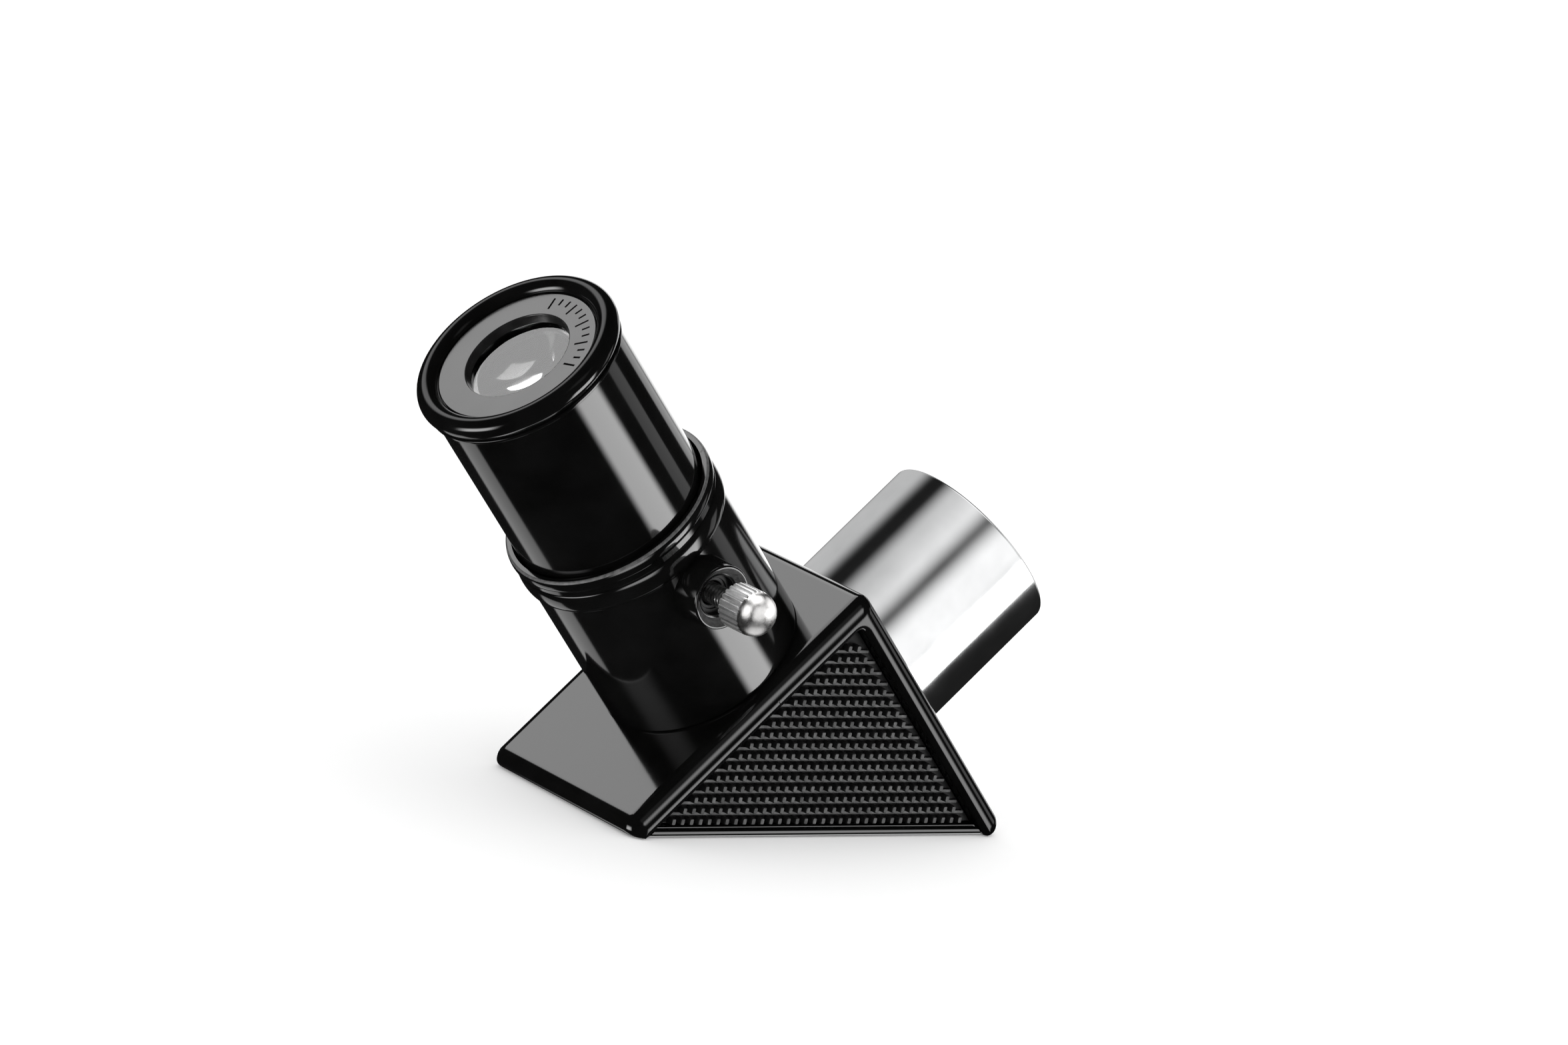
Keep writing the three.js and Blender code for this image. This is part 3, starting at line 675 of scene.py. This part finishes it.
def cover_screws():
    places = [(x, y) for x in (-SCREW_X, SCREW_X) for y in (-SCREW_Y, SCREW_Y)]
    for number, (x, y) in enumerate(places, 1):
        cover_screw(number, x, y)


# ---- grip panels --------------------------------------------------------------------------------

def pin_layers(x, z):
    """One pin: a small rounded rectangle that draws in at its top edge."""
    half_x, half_z = PIN_HALF
    rows = ((PANEL_FLOOR - 0.2, 0, 0.2), (PIN_TOP - 0.12, 0.03, 0.2), (PIN_TOP, 0.13, 0.14))
    layers = []
    for y, inset, corner in rows:
        a, b = half_x - inset, half_z - inset
        outline = rounded([(a, b, corner), (-a, b, corner), (-a, -b, corner), (a, -b, corner)], 2)
        layers.append([(x + p.x, y, z + p.y) for p in outline])
    return layers


def pins():
    """All the pins as one mesh. Each row has one pin fewer at each end than the row below it."""
    vertices, faces = [], []
    for row in range(PIN_ROWS):
        z = FIRST_ROW + row * PIN_PITCH
        count = 2 * (PIN_ROWS - row)
        for column in range(count):
            x = (column - (count - 1) / 2) * PIN_PITCH
            rings = []
            for layer in pin_layers(x, z):
                rings.append(list(range(len(vertices), len(vertices) + len(layer))))
                vertices += layer
            faces += bridge(rings) + [tuple(rings[0]), tuple(rings[-1])]
    return mesh_object("pins", vertices, faces)


def rails():
    """Low ledges under the rows of pins."""
    made = []
    for row in range(1, PIN_ROWS):
        top = FIRST_ROW + row * PIN_PITCH - PIN_HALF[1] + 0.1
        reach = APEX_HEIGHT - (SIDE_BEAD + 0.3) * math.sqrt(2) - top
        low = (-reach, PANEL_FLOOR - 0.2, top - RAIL_HEIGHT)
        made.append(block("rail", low, (reach, PANEL_FLOOR + RAIL_RISE, top)))
    return made


def grip_panels():
    """A panel of matte pins on a floor painted darker as shade between them, and its copy turned half round
    for the near side.
    """
    outline = leg_outline(SIDE_BEAD + 0.1, PANEL_FOOT, RECESS_ROUND)
    panel = sideways("far_grip_panel_pins", [(PANEL_BASE, outline), (PANEL_FLOOR, outline)])
    combine(panel, [pins(), *rails()], "UNION")
    panel.data.materials.append(GRIP_BLACK)
    panel.data.materials.append(INNER_BLACK_AND_PAINTED_SHADE)
    # The floor between the pins takes the darker black: painted shade.
    for face in panel.data.polygons:
        if face.center.y < (PANEL_FLOOR + 0.05) * MM:
            face.material_index = 1
    smooth(panel, sharp=40)
    near = panel.copy()
    near.data = panel.data.copy()
    near.data.transform(Matrix.Rotation(math.pi, 4, "Z"))
    near.name = "near_grip_panel_pins"
    bpy.context.scene.collection.objects.link(near)
    for piece, node in ((panel, "far_grip_panel"), (near, "near_grip_panel")):
        dress(piece, GRIP_BLACK, "diagonal", node)


# ---- mirror and pad -----------------------------------------------------------------------------

def plate(name, node, chamfer):
    """A flat plate the size of its CAD node, with chamfered edges."""
    low, high = node_box(node)
    loops = []
    for z, inset in ((low.z, chamfer), (low.z + chamfer, 0), (high.z - chamfer, 0), (high.z, chamfer)):
        x, y = high.x - inset, high.y - inset
        outline = rounded([(x, y, 0.5), (-x, y, 0.5), (-x, -y, 0.5), (x, -y, 0.5)], 3)
        loops.append([(p.x, p.y, z) for p in outline])
    return smooth(loft(name, loops))


def mirror_and_pad():
    dress(plate("flat_mirror", "mirror", 0.3), SILVER, "diagonal", "mirror")
    dress(plate("foam_mirror_pad", "mirror_pad", 0.4), FOAM, "diagonal", "mirror_pad")


# ---- eyepiece holder ----------------------------------------------------------------------------

def holder_tube():
    """The holder's outside: a spigot, a plain tube, then a bead and a rolled rim at the mouth."""
    bead_foot = BEAD_MIDDLE - BEAD_HALF
    return turned("holder_tube", [
        (0, -SPIGOT_DEPTH), (HOLDER_SPIGOT_R, -SPIGOT_DEPTH),
        (HOLDER_SPIGOT_R, SEAT_GAP), (HOLDER_R, SEAT_GAP, 0.3),
        (HOLDER_R, bead_foot - 0.35, 0.2), (GROOVE_R - 0.05, bead_foot - 0.2, 0.08),
        *bulge((GROOVE_R, BEAD_MIDDLE), (RING_R - GROOVE_R, BEAD_HALF), -1, 1, 24),
        *bulge((GROOVE_R, RIM_MIDDLE), (RING_R - GROOVE_R, RIM_MIDDLE - RIM_FOOT), -1, 0, 10),
        *bulge((MOUTH_FACE_R, RIM_MIDDLE), (RING_R - MOUTH_FACE_R, HOLDER_HEIGHT - RIM_MIDDLE), 0, 1, 12)[1:],
        (0, HOLDER_HEIGHT),
    ], SIGHT)


def holder_bore():
    """The eyepiece's socket, with the narrower light path under its stop."""
    below, above = -SPIGOT_DEPTH - OVERRUN, HOLDER_HEIGHT + OVERRUN
    return turned("holder_bore", [
        (0, below), (LIGHT_R, below), (LIGHT_R, STOP_HEIGHT), (HOLDER_BORE_R, STOP_HEIGHT),
        (HOLDER_BORE_R, HOLDER_HEIGHT - 0.55, 0.3), (HOLDER_BORE_R + 0.3, HOLDER_HEIGHT - 0.1, 0.1),
        (HOLDER_BORE_R + 0.7, above), (0, above),
    ], SIGHT)


def clamp_socket():
    """The stud's hole, stepped out to the conical seat in the boss's face."""
    above = BOSS_TOP + OVERRUN
    return turned("socket", [
        (0, STUD_HOLE_FOOT), (STUD_HOLE_R, STUD_HOLE_FOOT), (STUD_HOLE_R, STUD_SEAT, 0.12),
        (2.5, STUD_SEAT), (2.5, 19.1, 0.08), (3.2, 19.1), (3.2, 20.2, 0.1),
        (3.6, 20.25, 0.1), (BOSS_SEAT_R, BOSS_TOP, 0.1), (BOSS_SEAT_R, above), (0, above),
    ], CLAMP, steps=3)


def eyepiece_holder():
    """The holder and its boss, with a rubbed rim and conical seat, and a dull stud hole."""
    holder = holder_tube()
    corners = [(0, BOSS_FOOT), (BOSS_FOOT_R, BOSS_FOOT), (BOSS_TOP_R, BOSS_TOP, 0.3), (0, BOSS_TOP)]
    combine(holder, [turned("boss", corners, CLAMP)], "UNION")
    combine(holder, [holder_bore(), clamp_socket()])
    rub(holder, SIGHT, lambda r, z, up: r > MOUTH_FACE_R - 0.3 and z > RIM_MIDDLE + 0.5 and up > 0.4)
    holder.data.materials.append(INNER_BLACK_AND_PAINTED_SHADE)
    to_clamp = (TO_METRES @ CLAMP).inverted()
    cone_foot_r = 3.3
    for face in holder.data.polygons:
        at = to_clamp @ face.center
        on_cone = cone_foot_r < at.xy.length < BOSS_SEAT_R - 0.03
        if on_cone and BOSS_TOP - 1.24 < at.z < BOSS_TOP - 0.02:
            face.material_index = 1
        elif at.xy.length < cone_foot_r and STUD_HOLE_FOOT < at.z < BOSS_TOP:
            face.material_index = 2
    smooth(holder)
    true_cylinders(holder, SIGHT, (HOLDER_R, HOLDER_BORE_R))
    holder.name = "eyepiece_holder_tube"
    dress(holder, GLOSS_BLACK, "diagonal", "eyepiece_holder")


# ---- clamp screw --------------------------------------------------------------------------------

def thumb_screw_stud():
    """A right-hand thread on a rod, with plain ends in the knob and at the tip."""
    rows = round((STUD_END - STUD_TIP) / STUD_PITCH * THREAD_STEPS)
    vertices = [(0, 0, STUD_TIP)]
    rings = [[0]]
    for row in range(rows + 1):
        z = STUD_TIP + (STUD_END - STUD_TIP) * row / rows
        taper = min(1, (z - STUD_TIP) / 0.5, max(0, KNOB_START + 1 - z))
        ring = []
        for side in range(THREAD_SIDES):
            turn = side / THREAD_SIDES
            phase = (z / STUD_PITCH - turn) % 1
            depth = THREAD_DEPTH * abs(2 * phase - 1) * taper + THREAD_DEPTH * (1 - taper)
            radius = STUD_R - max(0.05, depth)
            ring.append(len(vertices))
            angle = turn * 2 * math.pi
            vertices.append((radius * math.cos(angle), radius * math.sin(angle), z))
        rings.append(ring)
    rings.append([len(vertices)])
    vertices.append((0, 0, STUD_END))
    stud = mesh_object("threaded_stud", vertices, bridge(rings), CLAMP)
    smooth(stud, sharp=50)
    # The stud's darker nickel is painted shade.
    dress(stud, PAINTED_SHADE_NICKEL, "clamp_stud", "thumb_screw_stud")


def knob_profile():
    """Knob radius and flute strength along its length: (distance out, radius, share of flute depth)."""
    neck, neck_r = KNOB_NECK
    rows = [(neck, neck_r - 0.1, 0.0), (neck + 0.1, neck_r, 0.0), (KNOB_START - 0.1, neck_r, 0.0)]
    rows += [(KNOB_START, KNOB_R - 0.55, 0.0), (KNOB_START + 0.06, KNOB_R - 0.36, 0.4)]
    rows += [(KNOB_START + 0.2, KNOB_R - 0.14, 0.9), (KNOB_START + 0.42, KNOB_R, 1.0)]
    rows += [(KNOB_SHOULDER - 0.5, KNOB_R, 1.0), (KNOB_SHOULDER - 0.25, KNOB_R - 0.02, 0.8)]
    rows += [(KNOB_SHOULDER - 0.05, KNOB_R - 0.06, 0.3), (KNOB_SHOULDER + 0.05, KNOB_R - 0.1, 0.0)]
    height = KNOB_END - KNOB_SHOULDER - 0.05
    dome_steps = 16
    for step in range(1, dome_steps):
        angle = math.pi / 2 * step / dome_steps
        radius = (KNOB_R - 0.1) * math.cos(angle) ** 0.86
        rows.append((KNOB_SHOULDER + 0.05 + height * math.sin(angle), radius, 0.0))
    return rows


def thumb_screw_knob():
    """A straight-knurled head with a domed end, hollow up to the bottom of the stud's socket."""
    sides = FLUTES * len(FLUTE_SECTION)
    vertices, rings = [], []

    def ring(z, radius, share):
        rings.append(list(range(len(vertices), len(vertices) + sides)))
        for side in range(sides):
            r = radius - FLUTE_DEPTH * share * FLUTE_SECTION[side % len(FLUTE_SECTION)]
            angle = 2 * math.pi * side / sides
            vertices.append((r * math.cos(angle), r * math.sin(angle), z))

    rings.append([0])
    vertices.append((0, 0, KNOB_SOCKET_END))
    ring(KNOB_SOCKET_END, STUD_R + 0.1, 0)
    ring(KNOB_NECK[0], STUD_R + 0.1, 0)
    for z, radius, share in knob_profile():
        ring(z, radius, share)
    rings.append([len(vertices)])
    vertices.append((0, 0, KNOB_END))
    knob = mesh_object("knurled_knob", vertices, bridge(rings), CLAMP)
    knob.data.materials.append(NICKEL)
    knob.data.materials.append(KNURLED)
    to_clamp = (TO_METRES @ CLAMP).inverted()
    for face in knob.data.polygons:
        if KNOB_START < (to_clamp @ face.center).z < KNOB_SHOULDER - 0.1:
            face.material_index = 1
    smooth(knob, sharp=48)
    dress(knob, NICKEL, "clamp_knob", "thumb_screw_knob")


# ---- nosepiece ----------------------------------------------------------------------------------

def nosepiece():
    """The plated tube that goes into the telescope, let into the housing's face."""
    tube = turned("nosepiece_tube", [
        (LIGHT_R, -SPIGOT_DEPTH), (NOSE_SPIGOT_R, -SPIGOT_DEPTH), (NOSE_SPIGOT_R, SEAT_GAP),
        (BARREL_R, SEAT_GAP, 0.15), (BARREL_R, NOSE_LENGTH, 0.4), (LIGHT_R, NOSE_LENGTH, 0.35),
    ], TELESCOPE)
    smooth(tube)
    dress(tube, CHROME, "diagonal", "nosepiece_barrel")


# ---- eyepiece -----------------------------------------------------------------------------------

def eyepiece_barrel():
    """The barrel with its round lip, the web that carries the eye lens, and the cap's seat."""
    bead_r = BARREL_R + 0.55
    lip = arc((LIP_CENTRE_R, LIP_HEIGHT), LIP_SECTION_R, -1.1, 2.8, 30)
    foot = STOP_HEIGHT + 0.3
    below = rounded([
        (BARREL_BORE_R, WEB_FOOT), (BARREL_BORE_R, foot), (BARREL_R, foot, 0.4),
        (BARREL_R, LIP_HEIGHT - 2.35, 0.2), (bead_r, LIP_HEIGHT - 2.25, 0.12),
        (bead_r, LIP_HEIGHT - 1.78, 0.15), (bead_r - 0.4, LIP_HEIGHT - 1.7),
        (LIP_CENTRE_R, LIP_HEIGHT), (SIGHT_HOLE_R, WEB_FOOT),
    ], 5)[:-2]
    seat_r = CAP_R + 0.1
    inside = rounded([
        (lip[-1][0], LIP_HEIGHT), (lip[-1][0], FACE_HEIGHT - 0.2), (seat_r, FACE_HEIGHT - 0.25, 0.06),
        (seat_r, CAP_SEAT), (EYE_LENS_R + 0.2, CAP_SEAT), (EYE_LENS_R + 0.2, EYE_LENS_SEAT),
        (SIGHT_HOLE_R - 0.45, EYE_LENS_SEAT), (SIGHT_HOLE_R - 0.45, WEB_FOOT),
    ], 4)[1:]
    barrel = lathe("eyepiece_tube", [*below, *lip, *inside], SIGHT)
    smooth(barrel)
    dress(barrel, GLOSS_BLACK, "eyepiece", "eyepiece_barrel")


def eyepiece_cap():
    """The flat ring round the eye lens, with a short fan of engraved index ticks."""
    cap = turned("eyepiece_cap_ring", [
        (SIGHT_HOLE_R - 0.35, CAP_SEAT + 0.1), (CAP_R, CAP_SEAT + 0.1), (CAP_R, FACE_HEIGHT, 0.12),
        (SIGHT_HOLE_R, FACE_HEIGHT, 0.22),
    ], SIGHT)
    ticks = []
    long_end, short_end, outer_end = TICK_REACH
    for tick in range(-TICKS_EACH_SIDE, TICKS_EACH_SIDE + 1):
        turn = SIGHT @ Matrix.Rotation(math.radians(TICK_MIDDLE + TICK_STEP * tick), 4, "Z")
        inner_end = long_end if tick % 3 == 0 else short_end
        low = (inner_end, -TICK_HALF, FACE_HEIGHT - TICK_DEPTH)
        ticks.append(block("tick", low, (outer_end, TICK_HALF, FACE_HEIGHT + OVERRUN), turn))
    combine(cap, ticks)
    smooth(cap)
    dress(cap, SATIN_BLACK, "eyepiece", "eyepiece_cap")


def lens(name, node, r, foot, top, clear, back):
    """A lens with a flat upper face, domed down by back inside its clear radius."""
    lower = list(reversed(dome(clear, foot, -back)))
    made = lathe(name, [*lower, (r, foot), (r, top), (0, top)], SIGHT)
    smooth(made)
    dress(made, GLASS, "eyepiece", node)


def lenses():
    lens("eye_lens_glass", "eye_lens", EYE_LENS_R, EYE_LENS_SEAT + 0.1, CAP_SEAT, 8, 1.6)
    lens("field_lens_glass", "field_lens", 14.5, 36.4, 39.1, 12.8, 2.2)


def barrel_rings():
    """The spacers, stop and retainer inside the barrel: name, inner radius, foot and top."""
    rings = [
        ("upper_lens_spacer", 13.9, 50.2, WEB_FOOT - 0.1),
        ("field_stop", 7.5, 49.2, 50.1),
        ("lower_lens_spacer", 13.9, 39.2, 49.1),
        ("field_lens_retainer", 13.0, 33.6, 36.3),
    ]
    for node, inner, foot, top in rings:
        corners = [(inner, foot, 0.1), (TRAIN_R, foot, 0.15), (TRAIN_R, top, 0.15), (inner, top, 0.1)]
        made = turned(f"{node}_ring", corners, SIGHT, steps=3)
        smooth(made)
        dress(made, INNER_BLACK_AND_PAINTED_SHADE, "eyepiece", node)


# ---- studio -------------------------------------------------------------------------------------

PART_MIDDLE = (cad_box[0] + cad_box[1]) / 2
CARD_DIRECTIONS = (
    (-1, -0.35, 0.25), (0.1, -1, 0.15), (0, -0.2, 1),
    (1, -0.3, 0.3), (0.2, 1, 0.3), (0.3, -0.3, -1),
)


def camera():
    """The camera at CAMERA_DISTANCE from CAMERA_TARGET, on its azimuth and elevation, then rolled."""
    azimuth, elevation, roll = map(math.radians, (CAMERA_AZIMUTH, CAMERA_ELEVATION, CAMERA_ROLL))
    back = Vector((
        math.sin(azimuth) * math.cos(elevation),
        -math.cos(azimuth) * math.cos(elevation),
        math.sin(elevation),
    ))
    level = Vector((math.cos(azimuth), math.sin(azimuth), 0))
    upright = back.cross(level)
    right = math.cos(roll) * level + math.sin(roll) * upright
    up = math.cos(roll) * upright - math.sin(roll) * level
    place = (Vector(CAMERA_TARGET) + back * CAMERA_DISTANCE) * MM
    data = bpy.data.cameras.new("camera")
    data.lens = CAMERA_LENS
    data.clip_end = 100
    made = bpy.data.objects.new("camera", data)
    made.matrix_world = Matrix.Translation(place) @ Matrix((right, up, back)).transposed().to_4x4()
    bpy.context.scene.collection.objects.link(made)
    bpy.context.scene.camera = made


def fade_edges(data, shares):
    """Makes an area light fall off smoothly over these shares of its width and height, at each edge."""
    data.use_nodes = True
    nodes, links = data.node_tree.nodes, data.node_tree.links
    across = nodes.new("ShaderNodeSeparateXYZ")
    links.new(nodes.new("ShaderNodeNewGeometry").outputs["Parametric"], across.inputs["Vector"])
    falls = []
    for output, share in (("X", shares[0]), ("Y", shares[1])):
        edge = nodes.new("ShaderNodeMath")
        edge.operation = "PINGPONG"
        edge.inputs[1].default_value = 0.5
        links.new(across.outputs[output], edge.inputs[0])
        fall = nodes.new("ShaderNodeMapRange")
        fall.interpolation_type = "SMOOTHSTEP"
        fall.inputs["From Max"].default_value = share
        links.new(edge.outputs["Value"], fall.inputs["Value"])
        falls.append(fall.outputs["Result"])
    both = nodes.new("ShaderNodeMath")
    both.operation = "MULTIPLY"
    links.new(falls[0], both.inputs[0])
    links.new(falls[1], both.inputs[1])
    links.new(both.outputs["Value"], nodes["Emission"].inputs["Strength"])


def softbox(name, direction, beside, distance, size, radiance, fade, lit):
    """A rectangular light that faces the part's middle, its width along beside, with sizes in metres.

    fade is the share of each side over which it falls off, and lit is the collection that it lights.
    """
    out = Vector(direction).normalized()
    width = (Vector(beside) - out * out.dot(Vector(beside))).normalized()
    data = bpy.data.lights.new(name, "AREA")
    data.shape = "RECTANGLE"
    data.size, data.size_y = size
    data.energy = radiance * 4 * size[0] * size[1]
    fade_edges(data, fade)
    made = bpy.data.objects.new(name, data)
    turn = Matrix((width, out.cross(width), out)).transposed().to_4x4()
    made.matrix_world = Matrix.Translation(PART_MIDDLE + out * distance) @ turn
    made.visible_camera = False
    made.light_linking.receiver_collection = lit
    bpy.context.scene.collection.objects.link(made)


def gathered(name, pieces):
    """A collection of pieces, for lights that light them alone."""
    made = bpy.data.collections.new(name)
    for piece in pieces:
        made.objects.link(piece)
    return made


def softboxes():
    """The studio's soft lights. None of them lights the floor."""
    grips = [p for p in HOUSED if p.name.endswith("panel_pins")]
    dark = gathered("dark_pieces", HOUSED + ROUND)
    housing = gathered("housing", [p for p in HOUSED if p.name == "prism_housing_shell"])
    unhoused = gathered("round_and_plated_pieces", ROUND + CHROMED)
    holder = gathered("holder", [p for p in ROUND if p.name == "eyepiece_holder_tube"])
    unheld = gathered("all_but_holder", [p for p in HOUSED + ROUND if p.name != "eyepiece_holder_tube"])
    nickelled = gathered("nickelled_pieces", NICKELLED)
    panels = gathered("panels", grips)
    plain = gathered("housing_and_cover", [p for p in HOUSED if p not in grips])
    lip = gathered("lip", [p for p in ROUND if p.name == "eyepiece_tube"])
    faces = gathered("faces", [p for p in HOUSED + ROUND + NICKELLED if p.name != "eyepiece_tube"])
    level = (1, 0, 0)
    front = (0.63, -0.75, -0.2)
    around_tube = Vector((-S45, 0, S45)).cross(Vector(front))
    front_size = (0.58, 0.5)
    over_mouth = (0.95, -0.42, 0.49)
    softbox("over_sight_face", (-0.14, 0.64, 0.75), level, 0.9, (0.7, 0.7), 2.7, (0.12, 0.12), faces)
    softbox("over_lip", (-0.2, 0.72, 0.66), level, 0.9, (0.5, 0.6), 1.2, (0.35, 0.35), lip)
    softbox("front_strip", front, around_tube, 0.9, front_size, 6.1, (0.24, 0.1), unhoused)
    softbox("front_card", front, around_tube, 0.9, front_size, 3.2, (0.35, 0.35), plain)
    softbox("panel_card", front, around_tube, 0.9, front_size, 5.2, (0.35, 0.35), panels)
    softbox("mouth_card", (-0.4, -0.84, -0.36), over_mouth, 0.9, (0.85, 0.5), 3.5, (0.3, 0.3), holder)
    softbox("knob_key", (0.72, -0.69, 0.0), level, 0.9, (0.34, 0.34), 5.0, (0.35, 0.35), nickelled)
    softbox("left_strip", (-0.93, 0.13, -0.33), (0, 1, 0), 0.9, (0.8, 0.48), 6.5, (0.35, 0.35), dark)
    softbox("front_fill", (-0.21, -0.74, 0.64), level, 1.0, (0.6, 0.5), 0.16, (0.35, 0.35), dark)
    softbox("leg_card", (0.05, -0.92, 0.38), level, 0.9, (0.5, 0.5), 3.2, (0.4, 0.4), housing)
    softbox("under_front_card", (0.55, 0.1, -0.83), level, 0.9, (0.6, 0.6), 3.0, (0.3, 0.3), dark)
    softbox("under_card", (0.03, 0.6, -0.79), level, 0.9, (0.5, 0.35), 0.9, (0.15, 0.15), dark)
    softbox("right_dim_strip", (0.96, -0.27, 0.11), (0, 1, 0), 1.0, (0.28, 0.4), 0.55, (0.1, 0.2), dark)
    softbox("right_card", (0.93, 0.36, 0.1), (-0.36, 0.93, 0), 1.0, (0.3, 0.7), 0.9, (0.15, 0.1), unheld)
    softbox("right_back_card", (0.68, 0.72, 0.12), (-0.72, 0.68, 0), 1.0, (0.7, 0.8), 1.6, (0.2, 0.1), dark)


def metal_cards(pieces, levels):
    """White cards all round that light the plated pieces alone, which stay bright in a dark studio.

    levels are the radiances of the cards to the left, front, top, right, back and below.
    """
    name = pieces[0].name
    lit = gathered(f"{name}_alone", pieces)
    for direction, radiance in zip(CARD_DIRECTIONS, levels):
        beside = (0, 1, 0) if abs(direction[1]) < 0.9 else (1, 0, 0)
        softbox(f"{name}_card", direction, beside, 1.2, (1.9, 1.9), radiance, (0.35, 0.35), lit)


def studio_floor():
    """A wide pale floor. Glossy rays pass it, so that the black plastic shows the softboxes alone."""
    floor = loft("studio_floor", [
        [(-6000, -6000, -0.2), (6000, -6000, -0.2), (6000, 6000, -0.2), (-6000, 6000, -0.2)],
        [(-6000, -6000, -10), (6000, -6000, -10), (6000, 6000, -10), (-6000, 6000, -10)],
    ])
    pale = surface("pale_floor", (grey(0.82), grey(0.84)), (0.8, 0.9), (40, 1e-5), 3)
    pale.node_tree.nodes["Principled BSDF"].inputs["Emission Strength"].default_value = 0.2
    floor.data.materials.append(pale)
    floor.visible_glossy = False
    floor.visible_shadow = False


def surround():
    """White to the camera and to matte surfaces, and nearly black in reflections and through glass."""
    world = bpy.data.worlds.new("surround")
    world.use_nodes = True
    bpy.context.scene.world = world
    nodes, links = world.node_tree.nodes, world.node_tree.links
    dark = nodes["Background"]
    dark.inputs["Color"].default_value = (0.012, 0.012, 0.012, 1)
    white = nodes.new("ShaderNodeBackground")
    white.inputs["Color"].default_value = (1, 1, 1, 1)
    white.inputs["Strength"].default_value = 1.2
    path = nodes.new("ShaderNodeLightPath")
    shiny = nodes.new("ShaderNodeMath")
    shiny.operation = "MAXIMUM"
    links.new(path.outputs["Is Glossy Ray"], shiny.inputs[0])
    links.new(path.outputs["Is Transmission Ray"], shiny.inputs[1])
    mix = nodes.new("ShaderNodeMixShader")
    links.new(shiny.outputs["Value"], mix.inputs["Fac"])
    links.new(white.outputs["Background"], mix.inputs[1])
    links.new(dark.outputs["Background"], mix.inputs[2])
    links.new(mix.outputs["Shader"], nodes["World Output"].inputs["Surface"])
    bpy.context.scene.view_settings.view_transform = "Standard"


camera()
prism_housing()
rear_cover()
cover_screws()
grip_panels()
mirror_and_pad()
eyepiece_holder()
thumb_screw_stud()
thumb_screw_knob()
nosepiece()
eyepiece_barrel()
eyepiece_cap()
lenses()
barrel_rings()
studio_floor()
softboxes()
metal_cards(CHROMED, (1.0, 0.85, 0.85, 0.7, 0.4, 0.6))
metal_cards(NICKELLED, (1.2, 0.8, 1.4, 1.0, 1.8, 0.6))
surround()
